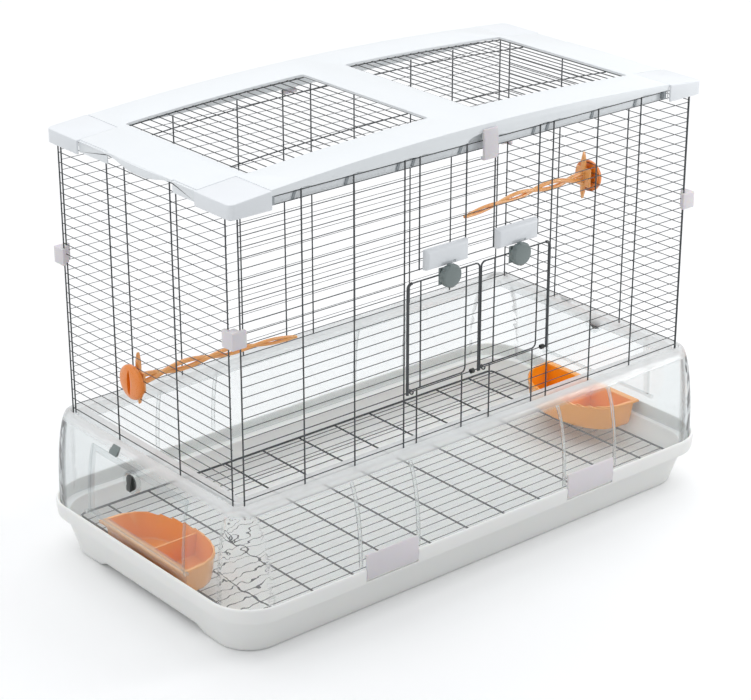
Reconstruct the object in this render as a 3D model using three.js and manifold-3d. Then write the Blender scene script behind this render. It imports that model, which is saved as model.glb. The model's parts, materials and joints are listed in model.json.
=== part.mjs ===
// Canary breeding cage: wire cage on a clear guard and a white tray, under an arched white roof.
// Millimetres, +Z up, front of the cage at -Y, origin on the floor under its middle.
import * as THREE from 'three';
import { mergeVertices } from 'three/addons/utils/BufferGeometryUtils.js';
import Module from 'manifold-3d';

const wasm = await Module();
wasm.setup();
const { Manifold, Mesh } = wasm;

// ---------------------------------------------------------------- driving dimensions
const GAP = 0.4;                 // clearance between neighbouring pieces
const PITCH = 12.7;              // level to level of the horizontal wires
const TOP_LEVEL = 27;            // level of the wire hidden in the roof
const THIN = 1.6;                // horizontal wire
const STOUT = 2.4;               // vertical wire
const RAIL = 2.6;                // first, last and doorway wires
const CAGE_L = 722;              // between the two end panels' wire planes
const CAGE_W = 345;              // between the front and back wire planes
const CAGE_Z = 194;              // bottom wire above the floor
const EDGE_INSET = 8;            // panel edge to the crossing of two wire planes
const TAIL = 12;                 // vertical wires below the bottom wire
const BAY_WIRES = [191.7, 266];  // vertical wires clear of the doors, from the middle
const GATE_WIRES = [22.5, 94.3]; // vertical wires above and below the doors
const JAMB = 116.8;              // doorway edge from the middle
const END_WIRES = 62.6;          // vertical wires of an end panel
const SILL_LEVEL = 5;            // doorway bottom
const LINTEL_LEVEL = 17;         // doorway top
const DOOR_RISE = 4.5;           // door's bottom rail over the sill wire
const DOOR_MIDDLE = 3;           // door edge wires from the middle of the cage
const RIM_H = 12;                // guard's top rim
const RIM_DROP = 4;              // rim below the bottom wire
const RIM_OUT = 6;               // rim past the wire planes
const RIM_IN = 16;               // rim inside the wire planes
const FLARE_X = 19;              // guard's bottom past its rim at the ends
const FLARE_Y = 29;              // and at the front and back
const FLARE_Z = 78;              // where the flare starts
const GUARD_T = 2.6;
const GUARD_R = 52;              // guard's corners at the bottom
const RIM_R = 13;                // and at the rim
const TRAY_RIM = 5.2;            // tray's rim past the guard's foot
const TRAY_H = 71;
const TRAY_LEDGE = 54;           // ledge the guard stands on
const TRAY_FOOT_IN = 15;         // floor outline inside the guard's foot at the ends
const TRAY_FOOT_Y_IN = 21;       // and at the front and back
const TRAY_T = 4;
const TRAY_FLOOR = 12;
const GRATE_Z = 38;
const GRATE_ROOM = [14, 3.5];     // from the grate's ends and sides to the tray's floor outline
const GRATE_PITCH = 16;          // lengthwise wires
const GRATE_CROSS = 62;          // crosswise wires
const PORT_Y = 94;               // half width of an end port in the guard
const PORT_Z = [89, 166];
const LEAF_LAP = 7;              // access door past the port's edge
const LEAF_T = 2.5;
const LEAF_TOP = 175;
const CUP_Y = 88;
const CUP_DEPTH = 78;
const CUP_TOP = 76;
const CUP_T = 2.4;
const ROOF_OVER_X = 4;           // roof edge past the wire planes at the ends
const ROOF_OVER_Y = 6;           // and at the front and back
const ROOF_RISE = 374;           // crown of the roof over the bottom wire
const ROOF_DROP = 16;            // crown to the ends
const ROOF_LIP = 343.5;          // underside of the fascia over the bottom wire
const ROOF_T = 2;
const ROOF_R = 7;
const BOW_MIDDLE = -7;           // where the bow on each end of the deck is centred
const BOW_OUT = 3.4;             // how far the bow stands out, from 1 mm inside the edge
const APRON = 8.5;               // how far the fascia hangs under the bow
const CAP_OUT = 2.5;             // corner cap past the roof edge
const CAP_LIP = 340.5;
const CAP_X = 310;               // where the caps start, from the middle
const CAP_Y = 115;
const WINDOW_X = [33, 298];
const WINDOW_Y = 118;
const ROOF_WIRES = 21;           // crosswise wires of one roof grid
const ROOF_TIE_Y = 76;           // lengthwise wires of a roof grid
const KNOB_X = 56;               // door knob from the middle
const KNOB_R = 14.5;
const KNOB_T = 8;
const KEEPER_X = [22.4, 90];
const KEEPER_Z = [214.5, 240];   // over the bottom wire
const CLIP_Z = 200;              // corner clips over the bottom wire
const CLIP_H = 21;
const CLIP_ARM = 20;
const PERCH_L = 238;
const PERCH_LEVEL = { left: 6.5, right: 14.5 };
const PERCH_Y = { left: 27, right: 8 };
const TAB_X = 165;               // tray latch from the middle
const TAB_W = 80;
const TAB_Z = [57, 90];
const TAB_T = 2.8;
const ROOF_LATCH_W = 22;
const ROOF_LATCH_Z = [331, 369]; // over the bottom wire
const ACCESS_KNOB = { y: 6, z: 160, r: 14 };

// ---------------------------------------------------------------- derived
const PX = CAGE_L / 2;
const PY = CAGE_W / 2;
const level = (k) => CAGE_Z + k * PITCH;
const OFFSET = THIN / 2 + 0.3 + STOUT / 2;          // stout wires behind the thin ones
const RIM_TOP = CAGE_Z - RIM_DROP;
const RIM_X = PX + RIM_OUT;
const RIM_Y = PY + RIM_OUT;
const FOOT_X = RIM_X + FLARE_X;
const FOOT_Y = RIM_Y + FLARE_Y;
const TRAY_X = FOOT_X + TRAY_RIM;
const TRAY_Y = FOOT_Y + TRAY_RIM;
const ROOF_X = PX + ROOF_OVER_X;
const ROOF_Y = PY + ROOF_OVER_Y;
const flare = (z) => Math.sqrt(Math.max(0, 1 - Math.max(0, (z - FLARE_Z) / (RIM_TOP - FLARE_Z)) ** 2));
const guardX = (z) => RIM_X + FLARE_X * flare(z);
const guardY = (z) => RIM_Y + FLARE_Y * flare(z);
const crown = (x) => CAGE_Z + ROOF_RISE - ROOF_DROP * (x / ROOF_X) ** 2;

// ---------------------------------------------------------------- shape helpers
const solid = (geometry) => {
  geometry.deleteAttribute('normal');
  geometry.deleteAttribute('uv');
  const g = mergeVertices(geometry, 1e-4);
  return new Manifold(new Mesh({
    numProp: 3,
    vertProperties: new Float32Array(g.attributes.position.array),
    triVerts: new Uint32Array(g.index.array),
  }));
};
const join = (...parts) => Manifold.union(parts.flat());
const cut = (body, ...tools) => body.subtract(join(...tools));
const keep = (a, b) => a.intersect(b);

// block between two corners
const block = (x, y, z) => {
  const g = new THREE.BoxGeometry(Math.abs(x[1] - x[0]), Math.abs(y[1] - y[0]), Math.abs(z[1] - z[0]));
  g.translate((x[0] + x[1]) / 2, (y[0] + y[1]) / 2, (z[0] + z[1]) / 2);
  return solid(g);
};
const around = (c, size) => [c - size / 2, c + size / 2];

// outline swept along an axis; the outline is in XY, XZ or YZ
const FRAMES = {
  z: [[1, 0, 0], [0, 1, 0], [0, 0, 1]],
  y: [[1, 0, 0], [0, 0, 1], [0, -1, 0]],
  x: [[0, 1, 0], [0, 0, 1], [1, 0, 0]],
};
const sweep = (outline, axis, from, to, holes = []) => {
  const shape = new THREE.Shape(outline.map(([u, v]) => new THREE.Vector2(u, v)));
  for (const h of holes) shape.holes.push(new THREE.Path(h.map(([u, v]) => new THREE.Vector2(u, v))));
  const g = new THREE.ExtrudeGeometry(shape, { depth: to - from, bevelEnabled: false, steps: 1 });
  const [a, b, c] = FRAMES[axis].map((v) => new THREE.Vector3(...v));
  g.applyMatrix4(new THREE.Matrix4().makeBasis(a, b, c));
  const start = axis === 'y' ? -to : from;
  g.translate(c.x * start, c.y * start, c.z * start);
  return solid(g);
};

// turned piece on an axis through (u, v); profile as [radius, along]
const turned = (profile, axis, u, v, steps = 24) => {
  const g = new THREE.LatheGeometry(profile.map(([r, h]) => new THREE.Vector2(r, h)), steps);
  if (axis === 'x') g.rotateZ(-Math.PI / 2).translate(0, u, v);
  if (axis === 'y') g.translate(u, 0, v);
  if (axis === 'z') g.rotateX(Math.PI / 2).translate(u, v, 0);
  return solid(g);
};
const rod = (r, axis, from, to, u, v, steps = 16) =>
  turned([[0, from], [r, from], [r, to], [0, to]], axis, u, v, steps);

// closed skin through rings of equal point counts, bottom to top
const loft = (rings) => {
  const n = rings[0].length;
  const last = (rings.length - 1) * n;
  const index = [];
  for (let k = 0; k < rings.length - 1; k += 1) {
    for (let i = 0; i < n; i += 1) {
      const a = k * n + i;
      const b = k * n + ((i + 1) % n);
      index.push(a, b, b + n, a, b + n, a + n);
    }
  }
  for (let i = 1; i < n - 1; i += 1) index.push(0, i + 1, i, last, last + i, last + i + 1);
  const g = new THREE.BufferGeometry();
  g.setAttribute('position', new THREE.Float32BufferAttribute(rings.flat(2), 3));
  g.setIndex(index);
  return solid(g);
};
const CORNER_STEPS = 5;
const ring = (hx, hy, r, z) => {
  const points = [];
  for (let q = 0; q < 4; q += 1) {
    const cx = (q === 0 || q === 3 ? 1 : -1) * (hx - r);
    const cy = (q < 2 ? 1 : -1) * (hy - r);
    for (let i = 0; i <= CORNER_STEPS; i += 1) {
      const a = (q + i / CORNER_STEPS) * Math.PI / 2;
      points.push([cx + r * Math.cos(a), cy + r * Math.sin(a), z]);
    }
  }
  return points;
};
const plug = (hx, hy, r, z0, z1) => loft([ring(hx, hy, r, z0), ring(hx, hy, r, z1)]);
const mirrorX = (body) => body.mirror([1, 0, 0]);
const mirrorY = (body) => body.mirror([0, 1, 0]);
const SIDES = { left: -1, right: 1 };

// ---------------------------------------------------------------- materials and nodes
const slot = (color, roughness, metalness, opacity = 1) =>
  new THREE.MeshStandardMaterial({ color, roughness, metalness, opacity, transparent: opacity < 1 });
const MAT = {
  wire: slot(0x35383b, 0.5, 0.5),
  white: slot(0xeeeeea, 0.45, 0),
  pale: slot(0xd6dade, 0.4, 0),
  clear: slot(0xdfe6e8, 0.12, 0, 0.35),
  orange: slot(0xf2932c, 0.3, 0),
  grey: slot(0x7f8b8c, 0.45, 0),
  dark: slot(0x2e3130, 0.5, 0),
};
const group = new THREE.Group();
group.name = 'canary_breeding_cage';
const add = (name, body, material) => {
  const m = body.getMesh();
  const g = new THREE.BufferGeometry();
  g.setAttribute('position', new THREE.Float32BufferAttribute(m.vertProperties, 3));
  g.setIndex(Array.from(m.triVerts));
  const flat = g.toNonIndexed();
  flat.computeVertexNormals();
  const mesh = new THREE.Mesh(flat, MAT[material]);
  mesh.name = name;
  group.add(mesh);
};

// ---------------------------------------------------------------- wire panels
// Built in the XZ plane at y = 0 with the outside towards -Y, then turned into place.
const TOP_Z = level(TOP_LEVEL) + RAIL / 2;
const lying = (x0, x1, z, size = THIN) => block([x0, x1], around(0, size), around(z, size));
const standing = (x, z0, z1, y = 0) => block(around(x, STOUT), around(y, STOUT), [z0, z1]);

const panel = (half, full, part, doorway) => {
  const rails = doorway ? [0, SILL_LEVEL, LINTEL_LEVEL, TOP_LEVEL] : [0, TOP_LEVEL];
  const wires = [];
  for (const s of [-1, 1]) {
    wires.push(standing(s * half, CAGE_Z - TAIL, TOP_Z));
    for (const x of full) wires.push(standing(s * x, CAGE_Z - TAIL, TOP_Z, OFFSET));
    for (const x of part) {
      wires.push(standing(s * x, CAGE_Z - TAIL, level(SILL_LEVEL) + RAIL / 2, OFFSET));
      wires.push(standing(s * x, level(LINTEL_LEVEL) - RAIL / 2, TOP_Z, OFFSET));
    }
    if (doorway) wires.push(standing(s * JAMB, level(SILL_LEVEL), level(LINTEL_LEVEL)));
  }
  for (let k = 0; k <= TOP_LEVEL; k += 1) {
    const size = rails.includes(k) ? RAIL : THIN;
    if (doorway && k > SILL_LEVEL && k < LINTEL_LEVEL) {
      wires.push(lying(-half, -JAMB, level(k), size), lying(JAMB, half, level(k), size));
    } else wires.push(lying(-half, half, level(k), size));
  }
  return join(wires);
};
const HALF_FRONT = PX - EDGE_INSET;
const HALF_END = PY - EDGE_INSET;
const frontWires = panel(HALF_FRONT, [...BAY_WIRES, JAMB], GATE_WIRES, true);
const backWires = panel(HALF_FRONT, [...BAY_WIRES, ...GATE_WIRES], [], false);
const endWires = panel(HALF_END, [END_WIRES], [], false);
add('front_panel', frontWires.translate([0, -PY, 0]), 'wire');
add('back_panel', mirrorY(backWires).translate([0, PY, 0]), 'wire');
add('left_panel', endWires.rotate([0, 0, -90]).translate([-PX, 0, 0]), 'wire');
add('right_panel', endWires.rotate([0, 0, 90]).translate([PX, 0, 0]), 'wire');

// ---------------------------------------------------------------- doors
const DOOR_Y = PY + RAIL * Math.SQRT1_2 + GAP + STOUT / 2;        // door plane, clear of the sill wire's corners
const DOOR_EDGES = [DOOR_MIDDLE, JAMB - STOUT - 1];
const DOOR_BOTTOM = level(SILL_LEVEL) + DOOR_RISE;
const DOOR_TOP = level(LINTEL_LEVEL - 1);
const door = () => {
  const wires = [];
  for (const x of DOOR_EDGES) wires.push(standing(x, DOOR_BOTTOM - 8, DOOR_TOP + RAIL / 2));
  for (const x of GATE_WIRES) wires.push(standing(x, DOOR_BOTTOM - RAIL / 2, DOOR_TOP + RAIL / 2, -OFFSET));
  wires.push(lying(...DOOR_EDGES, DOOR_BOTTOM, RAIL), lying(...DOOR_EDGES, DOOR_TOP, RAIL));
  for (let k = SILL_LEVEL + 1; k < LINTEL_LEVEL - 1; k += 1) wires.push(lying(...DOOR_EDGES, level(k)));
  return join(wires).translate([0, -DOOR_Y, 0]);
};
// black bead that turns on the sill wire beside the door's right edge
const BEAD_R = 3.1;
const bead = (edge) => {
  const x = [edge - STOUT / 2 - GAP - 5, edge - STOUT / 2 - GAP];
  const profile = [[RAIL * 0.8, x[0]], [BEAD_R, x[0]], [BEAD_R, x[1]], [RAIL * 0.8, x[1]], [RAIL * 0.8, x[0]]];
  return turned(profile, 'x', -PY, level(SILL_LEVEL), 12);
};
const PLATE_Y = DOOR_Y + RAIL / 2 + GAP;                          // back of the latch plate
const PLATE_T = 3;
const SPINDLE_R = 3;
const plate = (x) => {
  const z = DOOR_TOP;
  const body = join(
    block(around(x, 24), [-PLATE_Y - PLATE_T, -PLATE_Y], [z - 11, z + 6]),
    [-1, 1].map((s) => block(around(x + s * 8.5, 7), [-PLATE_Y - PLATE_T, -PLATE_Y], [z, z + 9.5])),
  );
  return cut(body, rod(SPINDLE_R + 0.3, 'y', -PLATE_Y - PLATE_T - 1, -PLATE_Y + 1, x, z, 16));
};
const CAM_T = 1.8;
const knob = (x) => {
  const back = -PLATE_Y - PLATE_T - GAP;
  const face = back - CAM_T - KNOB_T;
  const disc = turned([[0, face], [KNOB_R - 2, face], [KNOB_R, face + 2], [KNOB_R, back - CAM_T],
    [0, back - CAM_T]], 'y', x, DOOR_TOP, 20);
  const flutes = [];
  for (let i = 0; i < 10; i += 1) {
    const a = (i * Math.PI) / 5;
    flutes.push(rod(2.2, 'y', face - 1, back - CAM_T + 1, x + (KNOB_R + 1) * Math.cos(a),
      DOOR_TOP + (KNOB_R + 1) * Math.sin(a), 8));
  }
  const cam = block(around(x, 2 * KNOB_R - 3), [back - CAM_T - 0.5, back], around(DOOR_TOP, 5));
  const spindle = rod(SPINDLE_R, 'y', back - CAM_T - 1, -PLATE_Y - GAP, x, DOOR_TOP, 16);
  return join(cut(disc, flutes), cam, spindle);
};
// keeper box over the doorway, open below for the knob's cam
const keeper = () => {
  const back = -PY - RAIL / 2 - GAP;
  const front = -PLATE_Y - PLATE_T - CAM_T;
  const z = KEEPER_Z.map((v) => v + CAGE_Z);
  const rect = (inset, y) => [
    [KEEPER_X[0] + inset, y, z[0] + inset / 2], [KEEPER_X[1] - inset, y, z[0] + inset / 2],
    [KEEPER_X[1] - inset, y, z[1] - inset], [KEEPER_X[0] + inset, y, z[1] - inset]];
  const body = loft([rect(4, front), rect(1, front + 3), rect(0, back)].reverse());
  const camY = -PLATE_Y - PLATE_T - GAP;
  return cut(body, block(around(KNOB_X, 22), [camY - CAM_T - 0.6, camY + 0.6], [z[0] - 1, DOOR_TOP + KNOB_R + 2]));
};
for (const [side, s] of Object.entries(SIDES)) {
  const place = (body) => (s < 0 ? mirrorX(body) : body);
  add(`door_${side}`, place(door()), 'wire');
  add(`door_bead_${side}`, bead(s > 0 ? DOOR_EDGES[1] : -DOOR_EDGES[0]), 'dark');
  add(`latch_plate_${side}`, plate(s * KNOB_X), 'grey');
  add(`door_knob_${side}`, knob(s * KNOB_X), 'grey');
  add(`latch_keeper_${side}`, place(keeper()), 'pale');
}

// ---------------------------------------------------------------- corner clips
const clip = () => {
  const outX = PX + STOUT / 2 + GAP;
  const outY = PY + STOUT / 2 + GAP;
  const T = 5;
  const z = around(CAGE_Z + CLIP_Z, CLIP_H);
  return join(
    block([outX + T - CLIP_ARM, outX + T], [outY, outY + T], z),
    block([outX, outX + T], [outY + T - CLIP_ARM, outY + T], z),
    block([PX - EDGE_INSET + STOUT / 2 + GAP, outX + T], [PY - EDGE_INSET + STOUT / 2 + GAP, outY + T], z),
  );
};
add('corner_clip_front_left', mirrorX(mirrorY(clip())), 'white');
add('corner_clip_front_right', mirrorY(clip()), 'white');
add('corner_clip_back_left', mirrorX(clip()), 'white');
add('corner_clip_back_right', clip(), 'white');

// ---------------------------------------------------------------- tray
const traySkin = (dx, dy, z) => ring(TRAY_X - dx, TRAY_Y - dy, GUARD_R + TRAY_RIM - dx * 0.6, z);
const FOOT_DX = TRAY_RIM + TRAY_FOOT_IN;
const FOOT_DY = TRAY_RIM + TRAY_FOOT_Y_IN;
const GX = TRAY_X - FOOT_DX - TRAY_T - GRATE_ROOM[0];             // grate's half length
const GY = TRAY_Y - FOOT_DY - TRAY_T - GRATE_ROOM[1];             // and half width
const SKIRT_Z = TRAY_LEDGE - TRAY_T;
const trayBody = cut(
  loft([traySkin(FOOT_DX + 2, FOOT_DY + 2, 0), traySkin(FOOT_DX, FOOT_DY, 3),
    traySkin(TRAY_RIM + 4.5, TRAY_RIM + 9, SKIRT_Z - 5), traySkin(TRAY_RIM + 3.5, TRAY_RIM + 7, SKIRT_Z),
    traySkin(1.6, 1.6, SKIRT_Z), traySkin(0, 0, TRAY_H - 2), traySkin(1, 1, TRAY_H)]),
  loft([traySkin(FOOT_DX + TRAY_T, FOOT_DY + TRAY_T, TRAY_FLOOR),
    traySkin(TRAY_RIM + 4.5 + TRAY_T, TRAY_RIM + 9 + TRAY_T, SKIRT_Z - 5),
    traySkin(TRAY_RIM + 3.5 + TRAY_T, TRAY_RIM + 7 + TRAY_T, TRAY_LEDGE),
    traySkin(TRAY_RIM - 1, TRAY_RIM - 1, TRAY_LEDGE), traySkin(TRAY_RIM - 1.6, TRAY_RIM - 1.6, TRAY_H + 1)]),
);
const FOOT_RING = 28;
const underside = plug(TRAY_X - FOOT_DX - FOOT_RING, TRAY_Y - FOOT_DY - FOOT_RING, 20, -1, TRAY_FLOOR - TRAY_T);
const endRecess = [-1, 1].map((s) =>
  block([s * (TRAY_X - FOOT_DX - FOOT_RING - 5), s * (TRAY_X + 1)], [-108, 108], [-1, TRAY_FLOOR - TRAY_T - 1]));
const tabPocket = [-1, 1].map((s) =>
  block(around(s * TAB_X, TAB_W + 2 * GAP), [-TRAY_Y - 1, -TRAY_Y + TAB_T + 2 * GAP], [SKIRT_Z + 4, TRAY_H + 1]));
const ledges = [];
for (const x of [-2 / 3, 0, 2 / 3].map((t) => t * GX)) {
  for (const s of [-1, 1]) {
    ledges.push(block(around(x, 24), [s * (GY - 12), s * (TRAY_Y - FOOT_DY)], [TRAY_FLOOR - 1, GRATE_Z - 2.2]));
  }
}
add('tray', join(cut(trayBody, underside, endRecess, tabPocket), ledges), 'white');

// tray latch: plate hinged at its foot, lip over the guard's foot
const latchTab = (x) => {
  const y = -TRAY_Y + TAB_T / 2;
  const r = TAB_T / 2;
  const foot = [-90, -54, -18, 18, 54, 90].map((a) => {
    const t = THREE.MathUtils.degToRad(a - 90);
    return [y + r * Math.cos(t), TAB_Z[0] + r + r * Math.sin(t)];
  });
  const outline = [...foot, [y + r, TAB_Z[1] - 4], [-FOOT_Y - GAP * 2, TAB_Z[1] - 4],
    [-FOOT_Y - GAP * 2, TAB_Z[1] - 1.5], [y, TAB_Z[1]], [y - r, TAB_Z[1] - 2]];
  return sweep(outline, 'x', x - TAB_W / 2, x + TAB_W / 2);
};
add('tray_latch_left', latchTab(-TAB_X), 'white');
add('tray_latch_right', latchTab(TAB_X), 'white');

// ---------------------------------------------------------------- floor grate
const grateWires = [];
for (const s of [-1, 1]) {
  grateWires.push(block([-GX, GX], around(s * GY, RAIL), around(GRATE_Z, RAIL)));
  grateWires.push(block(around(s * GX, RAIL), [-GY, GY], around(GRATE_Z, RAIL)));
}
const lengthwise = Math.floor((GY - RAIL) / GRATE_PITCH);
for (let i = -lengthwise; i <= lengthwise; i += 1) {
  grateWires.push(block([-GX, GX], around(i * GRATE_PITCH, THIN), around(GRATE_Z + 0.5, THIN)));
}
const crosswise = Math.floor((GX - RAIL) / GRATE_CROSS);
for (let i = -crosswise; i <= crosswise; i += 1) {
  const x = i * GRATE_CROSS;
  grateWires.push(block(around(x, STOUT), [-GY, GY], [GRATE_Z - RAIL / 2 - 0.9, GRATE_Z - RAIL / 2 + 0.7]));
}
add('floor_grate', join(grateWires), 'wire');

// ---------------------------------------------------------------- clear guard
const guardSkin = (inset, z) => {
  const f = flare(z);
  return ring(guardX(z) - inset, guardY(z) - inset, RIM_R + (GUARD_R - RIM_R) * f - inset, z);
};
const GUARD_FOOT = TRAY_LEDGE + GAP;
const FLARE_STEPS = [0.22, 0.42, 0.6, 0.76, 0.89, 0.97, 1].map((t) => FLARE_Z + t * (RIM_TOP - FLARE_Z));
const SHELF_Z = RIM_TOP - RIM_H;
const outer = loft([GUARD_FOOT, FLARE_Z, ...FLARE_STEPS].map((z) => guardSkin(0, z)));
const inner = loft([GUARD_FOOT - 1, FLARE_Z, ...FLARE_STEPS.slice(0, 4), SHELF_Z].map((z) => guardSkin(GUARD_T, z)));
const mouth = plug(PX - RIM_IN, PY - RIM_IN, RIM_R - 4, SHELF_Z - 5, RIM_TOP + 1);
const GROOVE = OFFSET + STOUT / 2 + 0.5;
const grooveRing = cut(plug(PX + STOUT / 2 + 0.6, PY + STOUT / 2 + 0.6, 9, RIM_TOP - RIM_H + 2.5, RIM_TOP + 1),
  plug(PX - GROOVE, PY - GROOVE, 6, RIM_TOP - RIM_H, RIM_TOP + 2));
const ports = [-1, 1].map((s) => block([s * PX, s * (TRAY_X + 5)], [-PORT_Y, PORT_Y], PORT_Z));
// curve of the guard seen from one side, moved out by d
const curveUp = (reach, d, z0, z1, steps = 7) => {
  const points = [];
  for (let i = 0; i <= steps; i += 1) {
    const z = z0 + ((z1 - z0) * i) / steps;
    points.push([reach(z) + d, z]);
  }
  return points;
};
const stripOutline = (reach, d0, d1, z0, z1) =>
  [...curveUp(reach, d1, z0, z1), ...curveUp(reach, d0, z0, z1).reverse()];
const RIB_X = [TAB_X - TAB_W / 2 - 3.5, TAB_X + TAB_W / 2 + 6];
const ribs = [];
for (const x of RIB_X) {
  for (const s of [-1, 1]) {
    const rib = sweep(stripOutline(guardY, -1, 1.4, TRAY_H + 3, RIM_TOP - 8), 'x', s * x - 1.5, s * x + 1.5);
    ribs.push(rib, mirrorY(rib));
  }
}
const HINGE_R = 2.4;
const HINGE_X = FOOT_X + GAP + HINGE_R;
const HINGE_Z = PORT_Z[0] - LEAF_LAP + HINGE_R;
const LEAF_Y = PORT_Y + LEAF_LAP;
const PIN_R = 1.2;
const ears = [];
for (const sx of [-1, 1]) {
  for (const sy of [-1, 1]) {
    const y = [sy * (LEAF_Y + GAP), sy * (LEAF_Y + GAP + 5)];
    const pinY = [sy * (LEAF_Y - 3), sy * (LEAF_Y + GAP + 2)].sort((a, b) => a - b);
    ears.push(block([sx * (FOOT_X - 1), sx * (HINGE_X + HINGE_R)], y, around(HINGE_Z, 2 * HINGE_R)));
    ears.push(rod(PIN_R, 'y', ...pinY, sx * HINGE_X, HINGE_Z, 12));
  }
}
add('debris_guard', join(cut(outer, inner, mouth, grooveRing, ports), ribs, ears), 'clear');

// ---------------------------------------------------------------- access doors in the guard's ends
const BOSS_X = FOOT_X + 2.5;                                     // face of the knob's clear ring
const WELL_X = guardX(ACCESS_KNOB.z - ACCESS_KNOB.r) + GAP + LEAF_T;
const leaf = () => {
  const skin = sweep(stripOutline(guardX, GAP, GAP + LEAF_T, HINGE_Z, LEAF_TOP), 'y', -LEAF_Y, LEAF_Y);
  const barrel = rod(HINGE_R, 'y', -LEAF_Y, LEAF_Y, HINGE_X, HINGE_Z, 12);
  const bores = [-1, 1].map((s) => {
    const y = [s * (LEAF_Y - 4), s * (LEAF_Y + 1)].sort((a, b) => a - b);
    return rod(PIN_R + 0.3, 'y', ...y, HINGE_X, HINGE_Z, 12);
  });
  const inside = guardX(ACCESS_KNOB.z) + GAP + 0.8;
  const boss = rod(ACCESS_KNOB.r, 'x', inside, BOSS_X, ACCESS_KNOB.y, ACCESS_KNOB.z, 20);
  const well = rod(ACCESS_KNOB.r - 2, 'x', inside, BOSS_X + 1, ACCESS_KNOB.y, ACCESS_KNOB.z, 20);
  return cut(join(skin, barrel, cut(boss, well)), bores);
};
const accessKnob = () => {
  const base = WELL_X + GAP;
  const face = BOSS_X + 2.2;
  const { y, z } = ACCESS_KNOB;
  const foot = rod(ACCESS_KNOB.r - 4, 'x', base, base + 1.2, y, z, 16);
  const outline = [[base + 0.6, z - 9], [face, z - 10], [face, z - 5], [base + 2.4, z + 9], [base + 0.6, z + 9]];
  return join(foot, sweep(outline, 'y', y - 4, y + 4));
};
// dark catch under the rim that the access door's top edge closes against
const CATCH_Z = [LEAF_TOP + 1, LEAF_TOP + 12];
const accessCatch = () => {
  const outline = [[guardX(CATCH_Z[0]) + GAP, CATCH_Z[0]], [FOOT_X - 6, CATCH_Z[0]], [FOOT_X - 7, CATCH_Z[0] + 4],
    [guardX(CATCH_Z[1]) + GAP, CATCH_Z[1]]];
  return sweep(outline, 'y', 46, 62);
};
// cup: a D in plan with its straight side along the guard's end
const CUP_BACK = FOOT_X - GUARD_T - 1.5;                        // rim's straight side
const CUP_LEAN = 6;                                             // bowl inside the tray's wall
const cupRing = (shrink, z) => {
  const points = [];
  const back = CUP_BACK - (shrink > 0 ? CUP_LEAN : 0) - shrink * 0.6;
  for (let i = 0; i <= 14; i += 1) {
    const a = -Math.PI / 2 + (Math.PI * i) / 14;
    const depth = (CUP_DEPTH - shrink * 1.6) * Math.cos(a) ** 0.62;
    points.push([-(back - depth), (CUP_Y - shrink) * Math.sin(a), z]);
  }
  points[0][0] = -back;
  points[14][0] = -back;
  return points;
};
const cup = () => {
  const z0 = GRATE_Z + RAIL / 2 + GAP;                          // stands on the grate
  const z1 = CUP_TOP;
  const bowl = loft([cupRing(9, z0), cupRing(7, z0 + 4), cupRing(3, z1 - 5), cupRing(2.4, z1 - 3),
    cupRing(0, z1 - 3), cupRing(0, z1)]);
  const hollow = loft([cupRing(9 + CUP_T, z0 + CUP_T), cupRing(7 + CUP_T, z0 + 5), cupRing(3 + CUP_T, z1 - 3),
    cupRing(2.4 + CUP_T, z1 + 1)]);
  const divider = keep(bowl, block([-FOOT_X, FOOT_X], [-7, -4.6], [z0 + 1, z1 - 6]));
  return join(cut(bowl, hollow), divider);
};
for (const [side, s] of Object.entries(SIDES)) {
  const place = (body) => (s < 0 ? mirrorX(body) : body);
  add(`access_door_${side}`, place(leaf()), 'clear');
  add(`access_knob_${side}`, place(accessKnob()), 'dark');
  add(`access_catch_${side}`, place(accessCatch()), 'dark');
  add(`cup_${side}`, s < 0 ? cup() : mirrorX(cup()), 'orange');
}

// ---------------------------------------------------------------- perches
const AXLE_R = 4;
const perchArm = (z) => {
  const root = -PX + OFFSET + STOUT / 2 + GAP;
  const tip = root + PERCH_L;
  const along = (t) => root + t * PERCH_L;
  const mid = (t) => z + 5 * Math.sin(Math.PI * t) - 8 * t;
  const half = (t) => 9 - 6.6 * t + 1.2 * Math.sin(Math.PI * t * 4) ** 2;
  const top = [];
  const bottom = [];
  for (let i = 0; i <= 16; i += 1) {
    const t = i / 16;
    top.push([along(t), mid(t) + half(t)]);
    bottom.push([along(t), mid(t) - half(t)]);
  }
  const outline = [...bottom, ...top.reverse()];
  const eyes = [0.2, 0.42, 0.62, 0.8].map((t, i) => {
    const h = half(t) - 2.4;
    const skew = i % 2 ? -1 : 1;
    return [[along(t - 0.07), mid(t) - skew * h * 0.4], [along(t), mid(t) + h], [along(t + 0.07), mid(t) + skew * h * 0.4],
      [along(t), mid(t) - h]];
  });
  const arm = sweep(outline, 'y', -4.5, 4.5, eyes);
  const taper = sweep([[root, -8], [tip + 1, -3.2], [tip + 1, 3.2], [root, 8]], 'z', z - 60, z + 60);
  const foot = block([root, root + 4], [-13, 13], [z - 13, z + 13]);
  const spine = sweep([[-3.4, z - 20], [0, z - 31], [3.4, z - 20], [3.4, z + 24], [0, z + 36], [-3.4, z + 24]],
    'x', root, root + 4);
  const socket = rod(AXLE_R + 0.4, 'x', root - 1, root + 6, 0, z, 16);
  return cut(join(keep(arm, taper), foot, spine), socket);
};
const perchClamp = (z) => {
  const face = -PX - RAIL / 2 - GAP;
  const T = 7;
  const disc = turned([[0, -T], [15, -T], [20, -T + 1.5], [23, -T + 4.5], [23, 0], [0, 0]], 'x', 0, 0, 24)
    .scale([1, 1, 26.5 / 23]).translate([face, 0, z]);
  const slotCut = block([face - T - 1, face - T + 3.5], [-3.2, 3.2], [z - 18, z + 18]);
  const axle = rod(AXLE_R, 'x', face - 1, -PX + OFFSET + STOUT / 2 + GAP + 5, 0, z, 16);
  return join(cut(disc, slotCut), axle);
};
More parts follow.
